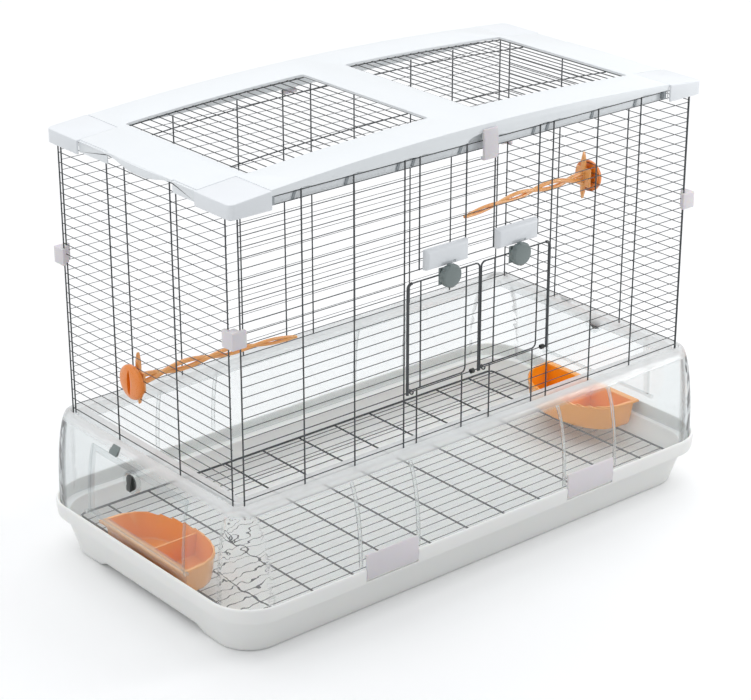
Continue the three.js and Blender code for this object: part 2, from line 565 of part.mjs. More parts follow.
for (const side of Object.keys(SIDES)) {
  const z = level(PERCH_LEVEL[side]);
  const place = (body) => (side === 'right' ? mirrorX(body) : body).translate([0, PERCH_Y[side], 0]);
  add(`perch_arm_${side}`, place(perchArm(z)), 'orange');
  add(`perch_clamp_${side}`, place(perchClamp(z)), 'orange');
}

// ---------------------------------------------------------------- roof
const ARCH_STEPS = 14;
const arch = (hx, drop, floor) => {
  const points = [[-hx, floor], [hx, floor]];
  for (let i = 0; i <= ARCH_STEPS; i += 1) {
    const x = hx - (2 * hx * i) / ARCH_STEPS;
    points.push([x, crown(x) - drop]);
  }
  return points;
};
const DECK_T = 3;
const lipZ = CAGE_Z + ROOF_LIP;
const STEP_Z = CAGE_Z + 355;                                      // fascia steps in below this
const roofTop = keep(sweep(arch(ROOF_X, 0, lipZ), 'y', -ROOF_Y, ROOF_Y), plug(ROOF_X, ROOF_Y, ROOF_R, lipZ - 1, lipZ + 60));
const roofHollow = sweep(arch(ROOF_X - ROOF_T, DECK_T, lipZ - 5), 'y', -ROOF_Y + ROOF_T, ROOF_Y - ROOF_T);
const lipStep = [-1, 1].flatMap((s) => [
  block([-ROOF_X, ROOF_X], [s * (ROOF_Y - 0.8), s * (ROOF_Y + 1)], [lipZ - 1, STEP_Z]),
  block([s * (ROOF_X - 0.6), s * (ROOF_X + 1)], [-ROOF_Y, ROOF_Y], [lipZ - 1, STEP_Z]),
]);
const capSeats = [-1, 1].flatMap((sx) => [-1, 1].map((sy) =>
  block([sx * CAP_X, sx * (ROOF_X + 1)], [sy * CAP_Y, sy * (ROOF_Y + 1)], [lipZ - 2, lipZ + 60])));
const windowMid = (WINDOW_X[0] + WINDOW_X[1]) / 2;
const windows = [-1, 1].map((s) =>
  plug((WINDOW_X[1] - WINDOW_X[0]) / 2, WINDOW_Y, 4, lipZ - 2, lipZ + 60).translate([s * windowMid, 0, 0]));
// shallow bow on each end of the deck
const bow = (s) => {
  const points = [];
  for (let i = 0; i <= 8; i += 1) {
    const y = -64 + 16 * i;
    points.push([s * (ROOF_X - 1 + BOW_OUT * Math.cos((Math.PI * y) / 128)), BOW_MIDDLE + y]);
  }
  const outline = [...points, [s * (ROOF_X - 1.5), BOW_MIDDLE + 64], [s * (ROOF_X - 1.5), BOW_MIDDLE - 64]];
  const z1 = crown(ROOF_X) - 0.4;
  return sweep(s > 0 ? outline : outline.reverse(), 'z', STEP_Z - 7, z1);
};
// under the bow the end fascia hangs as an apron, lowest in the middle
const endNotch = () => {
  const top = crown(ROOF_X) - DECK_T - 0.1;
  const points = [[BOW_MIDDLE - 64, lipZ - 1], [BOW_MIDDLE + 64, lipZ - 1]];
  for (let i = 0; i <= 8; i += 1) {
    const y = 64 - 16 * i;
    points.push([BOW_MIDDLE + y, top - APRON * Math.cos((Math.PI * y) / 128) ** 2]);
  }
  return [-1, 1].map((s) => {
    const x = [s * (ROOF_X - ROOF_T - 1), s * (ROOF_X + 6)].sort((a, b) => a - b);
    return sweep(points, 'x', x[0], x[1]);
  });
};
const roofBody = join(cut(roofTop, roofHollow, lipStep, capSeats, windows), bow(-1), bow(1));
add('roof_frame', cut(roofBody, endNotch()), 'white');

const cap = () => {
  const capZ = CAGE_Z + CAP_LIP;
  const body = keep(sweep(arch(ROOF_X + CAP_OUT, 0, capZ), 'y', -ROOF_Y - CAP_OUT, ROOF_Y + CAP_OUT),
    plug(ROOF_X + CAP_OUT, ROOF_Y + CAP_OUT, ROOF_R + 1, capZ - 1, capZ + 60));
  const corner = block([CAP_X + GAP, ROOF_X + 10], [CAP_Y + GAP, ROOF_Y + 10], [capZ - 1, capZ + 60]);
  const room = sweep(arch(ROOF_X - 0.5, DECK_T, capZ - 5), 'y', -ROOF_Y + 0.5, ROOF_Y - 0.5);
  return cut(keep(body, corner), room);
};
add('roof_cap_back_right', cap(), 'pale');
add('roof_cap_back_left', mirrorX(cap()), 'pale');
add('roof_cap_front_right', mirrorY(cap()), 'pale');
add('roof_cap_front_left', mirrorX(mirrorY(cap())), 'pale');

// roof grids hang just under the deck round their windows
const roofGrid = () => {
  const lap = 4;
  const drop = DECK_T + GAP;
  const x0 = WINDOW_X[0] - lap;
  const x1 = WINDOW_X[1] + lap;
  const strip = (d, t) => {
    const steps = 6;
    const xs = Array.from({ length: steps + 1 }, (_, i) => x0 + ((x1 - x0) * i) / steps);
    return [...xs.map((x) => [x, crown(x) - d - t]), ...xs.reverse().map((x) => [x, crown(x) - d])];
  };
  const wires = [-1, 1].map((s) => {
    const y = around(s * (WINDOW_Y + lap), RAIL);
    return sweep(strip(drop, RAIL), 'y', y[0], y[1]);
  });
  for (const s of [-1, 1]) {
    const y = around(s * ROOF_TIE_Y, THIN);
    wires.push(sweep(strip(drop + 0.6 + THIN + 0.3, THIN), 'y', y[0], y[1]));
  }
  for (const x of [x0 + RAIL / 2, x1 - RAIL / 2]) {
    wires.push(block(around(x, RAIL), [-WINDOW_Y - lap, WINDOW_Y + lap],
      [crown(x) - drop - 0.6 - 2 * THIN, crown(x) - drop - 0.5]));
  }
  for (let i = 1; i < ROOF_WIRES; i += 1) {
    const x = x0 + ((x1 - x0) * i) / ROOF_WIRES;
    wires.push(block(around(x, THIN), [-WINDOW_Y - lap, WINDOW_Y + lap],
      [crown(x) - drop - 0.6 - THIN, crown(x) - drop - 0.6]));
  }
  return join(wires);
};
add('roof_grid_right', roofGrid(), 'wire');
add('roof_grid_left', mirrorX(roofGrid()), 'wire');

// latch in the middle of the long sides, hinged at its top
const roofLatch = () => {
  const y = ROOF_Y + GAP;
  const [z0, z1] = ROOF_LATCH_Z.map((v) => v + CAGE_Z);
  const outline = [[-y, z1 - 1.6], [-y - 1, z1], [-y - 2.6, z1 - 1], [-y - 4, z1 - 12], [-y - 4, z0 + 2], [-y - 2.6, z0], [-y + 3, z0],
    [-y + 3, z0 + 3], [-y, z0 + 5]];
  return sweep(outline.reverse(), 'x', -ROOF_LATCH_W / 2, ROOF_LATCH_W / 2);
};
add('roof_latch_front', roofLatch(), 'white');
add('roof_latch_back', mirrorY(roofLatch()), 'white');

export default group;
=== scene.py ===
import json
import math

import bmesh
import bpy
from mathutils import Matrix, Vector


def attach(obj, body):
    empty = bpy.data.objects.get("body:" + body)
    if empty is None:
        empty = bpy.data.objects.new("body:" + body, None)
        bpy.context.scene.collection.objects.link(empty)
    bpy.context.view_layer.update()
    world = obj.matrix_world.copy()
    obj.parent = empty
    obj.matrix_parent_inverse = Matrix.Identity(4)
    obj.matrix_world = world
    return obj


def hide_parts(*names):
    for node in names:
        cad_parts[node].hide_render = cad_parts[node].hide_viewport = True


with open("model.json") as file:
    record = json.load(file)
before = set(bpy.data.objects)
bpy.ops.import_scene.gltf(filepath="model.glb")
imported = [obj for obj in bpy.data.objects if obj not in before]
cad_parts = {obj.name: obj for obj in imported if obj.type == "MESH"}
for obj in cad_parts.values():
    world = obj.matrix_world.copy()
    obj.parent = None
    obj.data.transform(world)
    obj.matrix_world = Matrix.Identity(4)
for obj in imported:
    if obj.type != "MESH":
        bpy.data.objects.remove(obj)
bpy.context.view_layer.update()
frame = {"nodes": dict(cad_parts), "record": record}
MM = 0.001

# ------------------------------------------------------------------ camera at the photograph's angle
IMAGE_W = 751
FOCAL_PX = 2237.9
CAMERA_AT = Vector((-1684.8, -1994.4, 1346.0)) * MM
CAMERA_TO = Vector((-200.15, -221.5, 354.0)) * MM

camera_data = bpy.data.cameras.new("camera")
camera_data.sensor_fit = "HORIZONTAL"
camera_data.sensor_width = 36.0
camera_data.lens = FOCAL_PX / IMAGE_W * 36.0
camera_data.clip_end = 50.0
camera = bpy.data.objects.new("camera", camera_data)
camera.location = CAMERA_AT
camera.rotation_euler = (CAMERA_TO - CAMERA_AT).to_track_quat("-Z", "Y").to_euler()
bpy.context.scene.collection.objects.link(camera)
bpy.context.scene.camera = camera
bpy.context.scene.view_settings.view_transform = "Standard"

# ------------------------------------------------------------------ the cage's sizes, in mm
# as in the CAD, apart from the back panel's thin wires (FAR_THIN_R) and the doors' centre posts
# (DOOR_CENTRE), which are taken closer to the photograph here
PITCH, CAGE_Z = 12.7, 194.0
PX, PY = 361.0, 172.5
EDGE_INSET = 8.0
TOP_LEVEL, SILL_LEVEL, LINTEL_LEVEL = 27, 5, 17
BAY_WIRES, GATE_WIRES, JAMB, END_WIRE = (191.7, 266.0), (22.5, 94.3), 116.8, 62.6
TAIL = 12.0
STOUT_R, THIN_R, FAR_THIN_R = 0.95, 0.52, 0.36
# what the foot and sill wires, and the lintel and top wires, are stouter by
FOOT_EXTRA, TOP_EXTRA = 0.15, 0.05
WIRE_TOP = CAGE_Z + 354.4
RIM_TOP, RIM_H = 190.0, 12.0
RIM_X, RIM_Y = PX + 6.0, PY + 6.0
FLARE_X, FLARE_Y, FLARE_Z = 19.0, 29.0, 78.0
FOOT_X, FOOT_Y = RIM_X + FLARE_X, RIM_Y + FLARE_Y
GUARD_T, GUARD_R, RIM_R = 2.6, 52.0, 13.0
TRAY_X, TRAY_Y, TRAY_R = FOOT_X + 5.2, FOOT_Y + 5.2, 57.2
TRAY_H, TRAY_LEDGE, TRAY_FLOOR = 71.0, 54.0, 12.0
DOOR_Y = 175.94
DOOR_OUTER, DOOR_CENTRE = 113.4, 1.4
DOOR_BOTTOM = CAGE_Z + SILL_LEVEL * PITCH + 4.5
ROOF_X, ROOF_Y = PX + 4.0, PY + 6.0


def level(k):
    """height of the panels' horizontal wire k"""
    return CAGE_Z + k * PITCH


def crown(x):
    """height of the roof's arch"""
    return CAGE_Z + 374.0 - 16.0 * (x / ROOF_X) ** 2


def flare(z):
    """how far the guard's wall stands out: 1 up to FLARE_Z, and 0 at its rim, along a quarter ellipse"""
    t = max(0.0, (z - FLARE_Z) / (RIM_TOP - FLARE_Z))
    return math.sqrt(max(0.0, 1.0 - t * t))


# ------------------------------------------------------------------ materials
def linear(hex_colour):
    """sRGB hex to the linear colour that sockets take"""
    out = []
    for i in (1, 3, 5):
        c = int(hex_colour[i:i + 2], 16) / 255.0
        out.append(c / 12.92 if c <= 0.04045 else ((c + 0.055) / 1.055) ** 2.4)
    return (*out, 1.0)


def add_node(tree, kind, settings=None, **links):
    """one node with its settings, and its inputs by name or number, as values or as other nodes' outputs"""
    n = tree.nodes.new(kind)
    for key, value in (settings or {}).items():
        setattr(n, key, value)
    for key, value in links.items():
        numbered = key[0] == "_" and key[1:].isdigit()
        socket = n.inputs[int(key[1:])] if numbered else n.inputs[key.replace("_", " ")]
        if isinstance(value, bpy.types.NodeSocket):
            tree.links.new(value, socket)
        else:
            socket.default_value = value
    return n


def new_material(name):
    """a node material, its tree and its Object coordinates"""
    m = bpy.data.materials.new(name)
    m.use_nodes = True
    return m, m.node_tree, add_node(m.node_tree, "ShaderNodeTexCoord").outputs["Object"]


def two_tones(t, noise, first, second):
    """colour that drifts between two tones with a noise"""
    return add_node(t, "ShaderNodeMix", {"data_type": "RGBA"}, _0=noise.outputs["Fac"],
                    _6=linear(first), _7=linear(second)).outputs[2]


CLOUD_MM, BLEED_MM = 60.0, 2.0


def moulding(name, colour, shade, roughness, grain_mm, grain, coat=0.0, subsurface=0.0):
    """Injection-moulded plastic: an even body colour with slow shade drift from the flow of the melt,
    and the fine spark-eroded grain of the mould, drawn a little coarser than real so that it shows."""
    m, t, where = new_material(name)
    bsdf = t.nodes["Principled BSDF"]
    drift = add_node(t, "ShaderNodeTexNoise", Vector=where, Scale=1000.0 / CLOUD_MM, Detail=2.0)
    t.links.new(two_tones(t, drift, colour, shade), bsdf.inputs["Base Color"])
    grit = add_node(t, "ShaderNodeTexNoise", Vector=where, Scale=1000.0 / grain_mm, Detail=3.0, Roughness=0.6)
    sheen = add_node(t, "ShaderNodeMapRange", Value=grit.outputs["Fac"], To_Min=roughness - 0.05,
                     To_Max=roughness + 0.06)
    t.links.new(sheen.outputs["Result"], bsdf.inputs["Roughness"])
    bump = add_node(t, "ShaderNodeBump", Strength=grain, Distance=0.0002, Height=grit.outputs["Fac"])
    t.links.new(bump.outputs["Normal"], bsdf.inputs["Normal"])
    bsdf.inputs["IOR"].default_value = 1.53
    bsdf.inputs["Coat Weight"].default_value = coat
    bsdf.inputs["Coat Roughness"].default_value = 0.12
    if subsurface:
        bsdf.inputs["Subsurface Weight"].default_value = subsurface
        bsdf.inputs["Subsurface Radius"].default_value = (1.0, 0.6, 0.3)
        bsdf.inputs["Subsurface Scale"].default_value = BLEED_MM * MM
    return m


def powder_coated_wire(name, colour, shade):
    """Steel wire in dark powder coat: half gloss, with slow patches of tone and the coat's orange peel."""
    m, t, where = new_material(name)
    bsdf = t.nodes["Principled BSDF"]
    patches = add_node(t, "ShaderNodeTexNoise", Vector=where, Scale=1000.0 / 35.0, Detail=3.0)
    t.links.new(two_tones(t, patches, colour, shade), bsdf.inputs["Base Color"])
    peel = add_node(t, "ShaderNodeTexNoise", Vector=where, Scale=1000.0 / 1.6, Detail=1.0)
    bump = add_node(t, "ShaderNodeBump", Strength=0.25, Distance=0.0001, Height=peel.outputs["Fac"])
    t.links.new(bump.outputs["Normal"], bsdf.inputs["Normal"])
    bsdf.inputs["Roughness"].default_value = 0.26
    bsdf.inputs["IOR"].default_value = 1.5
    return m


VEIL_FROM, VEIL_TO = 0.176, 0.189


def clear_styrene(name, tint, edge, haze, bends=True, rim=None):
    """Clear moulded polystyrene: sharp gloss, a faint grey body that gathers where the wall is seen edge on,
    and real bending of what stands behind only at the thick moulded corners (bends). A veil of haze covers
    it, and grows to that of the milky rim (rim) over the heights VEIL_FROM to VEIL_TO, in metres. Light
    passes without a shadow."""
    m, t, where = new_material(name)
    t.nodes.remove(t.nodes["Principled BSDF"])
    ripple = add_node(t, "ShaderNodeTexNoise", Vector=where, Scale=1000.0 / 22.0, Detail=1.0)
    bump = add_node(t, "ShaderNodeBump", Strength=0.3, Distance=0.0008, Height=ripple.outputs["Fac"])
    facing = add_node(t, "ShaderNodeLayerWeight", Blend=0.5)
    gather = add_node(t, "ShaderNodeMath", {"operation": "POWER"}, _0=facing.outputs["Facing"], _1=3.0)
    body = add_node(t, "ShaderNodeMix", {"data_type": "RGBA"}, _0=gather.outputs[0],
                    _6=linear(tint), _7=linear(edge))
    thin = add_node(t, "ShaderNodeBsdfTransparent", Color=body.outputs[2])
    swirl = add_node(t, "ShaderNodeBump", Strength=1.0, Distance=0.003, Height=ripple.outputs["Fac"])
    thick = add_node(t, "ShaderNodeBsdfRefraction", IOR=1.4, Roughness=0.0, Color=body.outputs[2],
                     Normal=swirl.outputs["Normal"])
    normal = add_node(t, "ShaderNodeSeparateXYZ", Vector=add_node(t, "ShaderNodeTexCoord").outputs["Normal"])
    turn = add_node(t, "ShaderNodeMath", {"operation": "MULTIPLY"}, _0=normal.outputs["X"],
                    _1=normal.outputs["Y"])
    size = add_node(t, "ShaderNodeMath", {"operation": "ABSOLUTE"}, _0=turn.outputs[0])
    corner = add_node(t, "ShaderNodeMapRange", Value=size.outputs[0], From_Min=0.04, From_Max=0.25,
                      To_Max=1.0 if bends else 0.0)
    clear = add_node(t, "ShaderNodeMixShader", _0=corner.outputs[0], _1=thin.outputs[0], _2=thick.outputs[0])
    gloss = add_node(t, "ShaderNodeBsdfAnisotropic", Roughness=0.06, Color=linear("#ffffff"),
                     Normal=bump.outputs["Normal"])
    fresnel = add_node(t, "ShaderNodeFresnel", IOR=1.45, Normal=bump.outputs["Normal"])
    outer = add_node(t, "ShaderNodeMath", {"operation": "SUBTRACT"}, _0=1.0,
                     _1=add_node(t, "ShaderNodeNewGeometry").outputs["Backfacing"])
    share = add_node(t, "ShaderNodeMath", {"operation": "MULTIPLY"}, _0=fresnel.outputs["Fac"],
                     _1=outer.outputs[0])
    shiny = add_node(t, "ShaderNodeMixShader", _0=share.outputs[0], _1=clear.outputs[0], _2=gloss.outputs[0])
    within = add_node(t, "ShaderNodeBsdfTranslucent", Color=linear("#ffffff"))
    skin = add_node(t, "ShaderNodeBsdfDiffuse", Color=linear("#fbfcfd"))
    cloud = add_node(t, "ShaderNodeMixShader", _0=0.6, _1=within.outputs[0], _2=skin.outputs[0])
    height = add_node(t, "ShaderNodeSeparateXYZ", Vector=where)
    veil = add_node(t, "ShaderNodeMapRange", Value=height.outputs["Z"], From_Min=VEIL_FROM, From_Max=VEIL_TO,
                    To_Min=haze, To_Max=haze if rim is None else rim)
    milky = add_node(t, "ShaderNodeMixShader", _0=veil.outputs["Result"], _1=shiny.outputs[0],
                     _2=cloud.outputs[0])
    through = add_node(t, "ShaderNodeBsdfTransparent", Color=linear("#fdfefe"))
    path = add_node(t, "ShaderNodeLightPath")
    unseen = add_node(t, "ShaderNodeMath", {"operation": "MAXIMUM"}, _0=path.outputs["Is Shadow Ray"],
                      _1=path.outputs["Is Diffuse Ray"])
    last = add_node(t, "ShaderNodeMixShader", _0=unseen.outputs[0], _1=milky.outputs[0],
                    _2=through.outputs[0])
    t.links.new(last.outputs[0], t.nodes["Material Output"].inputs["Surface"])
    return m


WIRE = powder_coated_wire("powder_coated_steel_wire", "#36393c", "#45494c")
TRAY_WHITE = moulding("tray_moulded_polypropylene", "#f7f7f5", "#f2f2f0", 0.42, 1.1, 0.35, subsurface=0.1)
ROOF_WHITE = moulding("roof_moulded_abs", "#f0f3f5", "#ebeff2", 0.34, 1.0, 0.2)
CAP_GREY = moulding("cap_moulded_abs", "#edf0f3", "#e7eaee", 0.34, 1.0, 0.2)
# the hooks' grey, darker than the roof's white, is painted shade standing for the shaded sides of the skirt's
# brackets
HOOK_PAINTED_SHADE_GREY = moulding("wire_hook_moulded_nylon", "#a2a8ac", "#999fa3", 0.4, 0.8, 0.2)
CLIP_WHITE = moulding("clip_translucent_polypropylene", "#e6e1e5", "#d9d4d8", 0.32, 0.9, 0.2, subsurface=0.4)
ORANGE = moulding("orange_translucent_styrene", "#ffa922", "#fd9a14", 0.2, 2.2, 0.12, coat=0.4,
                  subsurface=0.08)
CLAMP_ORANGE = moulding("orange_clamp_polypropylene", "#f5902a", "#ea7d18", 0.28, 1.4, 0.2, coat=0.3,
                        subsurface=0.2)
# the perch arms' orange is drawn paler than the plastic's own: a painted highlight standing for the gloss on
# the woven strands
PERCH_ORANGE_PAINTED_HIGHLIGHT = moulding("orange_perch_polypropylene", "#f9ba74", "#ee9c48", 0.24, 1.4, 0.2, coat=0.5,
                        subsurface=0.3)
KNOB_GREY = moulding("knob_moulded_nylon", "#7f8a89", "#737e7d", 0.26, 1.0, 0.3)
DARK = moulding("dark_moulded_nylon", "#2c2f2c", "#232624", 0.34, 1.0, 0.3)
CLEAR = clear_styrene("clear_moulded_styrene", "#fcfdfd", "#b4bbbe", 0.06, rim=0.62)
CLEAR_SHEET = clear_styrene("clear_styrene_sheet", "#fcfdfd", "#c6cccf", 0.02, bends=False)
SLOTS = {"wire": WIRE, "tray_white": TRAY_WHITE, "roof_white": ROOF_WHITE, "cap_grey": CAP_GREY,
         "clip_white": CLIP_WHITE, "orange": ORANGE, "knob_grey": KNOB_GREY, "dark": DARK,
         "clear_guard": CLEAR}
NODE_SLOT = {s["node"]: s["material_slot"] for s in frame["record"]["subparts"]}
NODE_BODY = {n: b for b, ns in frame["record"]["behaviour"]["bodies"].items() for n in ns}
# the CAD's own nodes take the same finishes
for name, cad in frame["nodes"].items():
    cad.data.materials.clear()
    cad.data.materials.append(SLOTS[NODE_SLOT[name]])


# ------------------------------------------------------------------ making pieces
def piece(name, mesh, material, node, angle=32.0):
    """an object from a mesh, which stands for a CAD node and rides on its body"""
    mesh.materials.clear()
    mesh.materials.append(material)
    for polygon in mesh.polygons:
        polygon.material_index = 0
    mesh.shade_smooth()
    mesh.set_sharp_from_angle(angle=math.radians(angle))
    ob = bpy.data.objects.new(name, mesh)
    bpy.context.scene.collection.objects.link(ob)
    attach(ob, NODE_BODY[node])
    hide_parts(node)


def mesh_from(name, points, faces):
    """mesh from points in mm"""
    mesh = bpy.data.meshes.new(name)
    mesh.from_pydata([Vector(p) * MM for p in points], [], faces)
    mesh.validate()
    return mesh


def joined(name, meshes):
    bm = bmesh.new()
    for m in meshes:
        bm.from_mesh(m)
        bpy.data.meshes.remove(m)
    out = bpy.data.meshes.new(name)
    bm.to_mesh(out)
    bm.free()
    return out


def finished(mesh, *modifiers):
    """a mesh with modifiers applied: (kind, settings) each"""
    ob = bpy.data.objects.new("being_made", mesh)
    bpy.context.scene.collection.objects.link(ob)
    helpers = []
    for kind, settings in modifiers:
        mod = ob.modifiers.new(kind, kind)
        for key, value in settings.items():
            if isinstance(value, bpy.types.Mesh):
                helper = bpy.data.objects.new("tool", value)
                bpy.context.scene.collection.objects.link(helper)
                helpers.append(helper)
                value = helper
            setattr(mod, key, value)
    graph = bpy.context.evaluated_depsgraph_get()
    out = bpy.data.meshes.new_from_object(ob.evaluated_get(graph), depsgraph=graph)
    bpy.data.objects.remove(ob)
    for helper in helpers:
        bpy.data.objects.remove(helper)
    return out


def rounded(width, segments=3, angle=35.0):
    """modifier that rounds the edges sharper than an angle"""
    return ("BEVEL", {"width": width * MM, "segments": segments, "limit_method": "ANGLE",
                      "angle_limit": math.radians(angle), "harden_normals": False})


def less(tool):
    """modifier that cuts a tool's form away"""
    return ("BOOLEAN", {"operation": "DIFFERENCE", "object": tool, "solver": "EXACT"})


def block(x, y, z):
    """box between pairs of x, y and z, in mm"""
    points = [(a, b, c) for c in z for b in y for a in x]
    faces = [(0, 2, 3, 1), (4, 5, 7, 6), (0, 1, 5, 4), (2, 6, 7, 3), (0, 4, 6, 2), (1, 3, 7, 5)]
    return mesh_from("block", points, faces)


def copy_of(node):
    """a CAD node's mesh, merged, with its flat faces joined, ready to be finished"""
    bm = bmesh.new()
    bm.from_mesh(frame["nodes"][node].data)
    bmesh.ops.remove_doubles(bm, verts=bm.verts, dist=1e-6)
    bmesh.ops.dissolve_limit(bm, angle_limit=math.radians(0.15), verts=bm.verts, edges=bm.edges)
    out = bpy.data.meshes.new(node)
    bm.to_mesh(out)
    bm.free()
    return out


def dressed(node, width, segments=3, material=None, angle=35.0):
    """a moulded part: the CAD form with its edges rounded as a mould leaves them"""
    mesh = finished(copy_of(node), rounded(width, segments, angle))
    piece(node + "_moulded", mesh, material or SLOTS[NODE_SLOT[node]], node=node)


def mirrored(mesh):
    """the mesh turned into its left-right opposite"""
    mesh.transform(Matrix.Scale(-1, 4, (1, 0, 0)))
    mesh.flip_normals()
    return mesh


def angles(count):
    """equal steps round a circle"""
    return [2 * math.pi * i / count for i in range(count)]


def loft(name, rings, loop=False):
    """skin through rings of equal point counts: closed by two end faces, or looped back to the first"""
    n = len(rings[0])
    points = [p for r in rings for p in r]
    faces = []
    spans = len(rings) if loop else len(rings) - 1
    for k in range(spans):
        a0, b0 = k * n, ((k + 1) % len(rings)) * n
        for i in range(n):
            j = (i + 1) % n
            faces.append((a0 + i, a0 + j, b0 + j, b0 + i))
    if not loop:
        faces.append(tuple(reversed(range(n))))
        faces.append(tuple(range((len(rings) - 1) * n, len(rings) * n)))
    mesh = mesh_from(name, points, faces)
    bm = bmesh.new()
    bm.from_mesh(mesh)
    bmesh.ops.recalc_face_normals(bm, faces=bm.faces)
    bm.to_mesh(mesh)
    bm.free()
    return mesh


CORNER_STEPS = 14


def ring(hx, hy, r, z, side_x=30, side_y=18, shape=None):
    """rounded rectangle of points; shape may move a point"""
    points = []
    for q in range(4):
        sx = 1 if q in (0, 3) else -1
        sy = 1 if q < 2 else -1
        cx, cy = sx * (hx - r), sy * (hy - r)
        for i in range(CORNER_STEPS + 1):
            a = (q + i / CORNER_STEPS) * math.pi / 2
            points.append([cx + r * math.cos(a), cy + r * math.sin(a), z])
        steps = side_x if q in (0, 2) else side_y
        after = (q + 1) % 4
        nx = (1 if after in (0, 3) else -1) * (hx - r)
        ny = (1 if after < 2 else -1) * (hy - r)
        a = (q + 1) * math.pi / 2
        p0 = Vector((cx + r * math.cos(a), cy + r * math.sin(a)))
        p1 = Vector((nx + r * math.cos(a), ny + r * math.sin(a)))
        for i in range(1, steps):
            p = p0.lerp(p1, i / steps)
            points.append([p.x, p.y, z])
    return [shape(p) if shape else p for p in points]


# ------------------------------------------------------------------ wires
WIRE_SIDES = 10


def wire_tree():
    """Geometry Nodes: a row of equal straight round wires"""
    tree = bpy.data.node_groups.new("row_of_wires", "GeometryNodeTree")
    face = tree.interface
    for label, kind, value in (("Start", "NodeSocketVector", (0, 0, 0)),
                               ("Run", "NodeSocketVector", (1, 0, 0)),
                               ("Step", "NodeSocketVector", (0, 0, 1)), ("Count", "NodeSocketInt", 2),
                               ("Radius", "NodeSocketFloat", 0.001), ("Sides", "NodeSocketInt", WIRE_SIDES)):
        s = face.new_socket(label, in_out="INPUT", socket_type=kind)
        s.default_value = value
    face.new_socket("Finish", in_out="INPUT", socket_type="NodeSocketMaterial")
    face.new_socket("Geometry", in_out="OUTPUT", socket_type="NodeSocketGeometry")
    given = tree.nodes.new("NodeGroupInput").outputs
    places = add_node(tree, "GeometryNodeMeshLine", {"mode": "OFFSET", "count_mode": "TOTAL"},
                      Count=given["Count"], Start_Location=given["Start"], Offset=given["Step"])
    line = add_node(tree, "GeometryNodeCurvePrimitiveLine", {"mode": "POINTS"}, Start=(0, 0, 0),
                    End=given["Run"])
    circle = add_node(tree, "GeometryNodeCurvePrimitiveCircle", {"mode": "RADIUS"},
                      Resolution=given["Sides"], Radius=given["Radius"])
    wire = add_node(tree, "GeometryNodeCurveToMesh", Curve=line.outputs[0], Profile_Curve=circle.outputs[0],
                    Fill_Caps=True)
    put = add_node(tree, "GeometryNodeInstanceOnPoints", Points=places.outputs[0], Instance=wire.outputs[0])
    real = add_node(tree, "GeometryNodeRealizeInstances", Geometry=put.outputs[0])
    coat = add_node(tree, "GeometryNodeSetMaterial", Geometry=real.outputs[0], Material=given["Finish"])
    out = tree.nodes.new("NodeGroupOutput")
    tree.links.new(coat.outputs[0], out.inputs["Geometry"])
    return tree


WIRE_TREE = wire_tree()
SOCKETS = {s.name: s.identifier for s in WIRE_TREE.interface.items_tree if s.in_out == "INPUT"}


def wires(start, run, step=(0, 0, 1), count=1, radius=THIN_R):
    """mesh of count wires, in mm: each runs along run, the next one step further"""
    ob = bpy.data.objects.new("wires", bpy.data.meshes.new("wires"))
    bpy.context.scene.collection.objects.link(ob)
    mod = ob.modifiers.new("wires", "NODES")
    mod.node_group = WIRE_TREE
    for key, value in (("Start", start), ("Run", run), ("Step", step)):
        mod[SOCKETS[key]] = [v * MM for v in value]
    mod[SOCKETS["Count"]] = count
    mod[SOCKETS["Radius"]] = radius * MM
    mod[SOCKETS["Sides"]] = WIRE_SIDES
    mod[SOCKETS["Finish"]] = WIRE
    graph = bpy.context.evaluated_depsgraph_get()
    out = bpy.data.meshes.new_from_object(ob.evaluated_get(graph), depsgraph=graph)
    bpy.data.objects.remove(ob)
    return out


def grid_panel(half, full, part, doorway, thin=THIN_R):
    """a panel's wires in the XZ plane at y = 0, outside towards -Y: the uprights stand just
    outside the thin ones, except for the stubs under the doors, which leave the doors room to fold down"""
    out = -thin - STOUT_R + 0.1
    z0, z1 = CAGE_Z - TAIL, WIRE_TOP
    made = []
    for s in (-1, 1):
        made.append(wires((s * half, out, z0), (0, 0, z1 - z0), radius=STOUT_R))
        for x in full:
            made.append(wires((s * x, out, z0), (0, 0, z1 - z0), radius=STOUT_R))
        for x in part:
            low, high = level(SILL_LEVEL), level(LINTEL_LEVEL)
            made.append(wires((s * x, -out, z0), (0, 0, low - z0), radius=STOUT_R))
            made.append(wires((s * x, out, high), (0, 0, z1 - high), radius=STOUT_R))
        if doorway:
            a, b = (-half, -JAMB) if s < 0 else (JAMB, half)
            made.append(wires((a, 0, level(SILL_LEVEL + 1)), (b - a, 0, 0), (0, 0, PITCH),
                              LINTEL_LEVEL - SILL_LEVEL - 1, thin))
    row = (-half, 0, level(1)), (2 * half, 0, 0), (0, 0, PITCH)
    made.append(wires((-half, 0, CAGE_Z), (2 * half, 0, 0), radius=thin + FOOT_EXTRA))
    if doorway:
        made.append(wires(*row, SILL_LEVEL - 1, thin))
        made.append(wires((-half, 0, level(SILL_LEVEL)), (2 * half, 0, 0), radius=thin + FOOT_EXTRA))
        made.append(wires((-half, 0, level(LINTEL_LEVEL)), (2 * half, 0, 0), radius=thin + TOP_EXTRA))
        made.append(wires((-half, 0, level(LINTEL_LEVEL + 1)), (2 * half, 0, 0), (0, 0, PITCH),
                          TOP_LEVEL - LINTEL_LEVEL, thin))
    else:
        made.append(wires(*row, TOP_LEVEL, thin))
    # the top wire is real, but it is set 2.2 mm low so that it shows just under the fascia's edge, where its
    # dark body stands for that edge's shadow line: painted shadow
    made.append(wires((-half, 0, WIRE_TOP - 2.2), (2 * half, 0, 0), radius=thin + TOP_EXTRA))
    return joined("panel", made)


def turned_to(mesh, angle, x, y):
    """a panel turned to its side of the cage"""
    mesh.transform(Matrix.Translation((x * MM, y * MM, 0)) @ Matrix.Rotation(math.radians(angle), 4, "Z"))
    return mesh


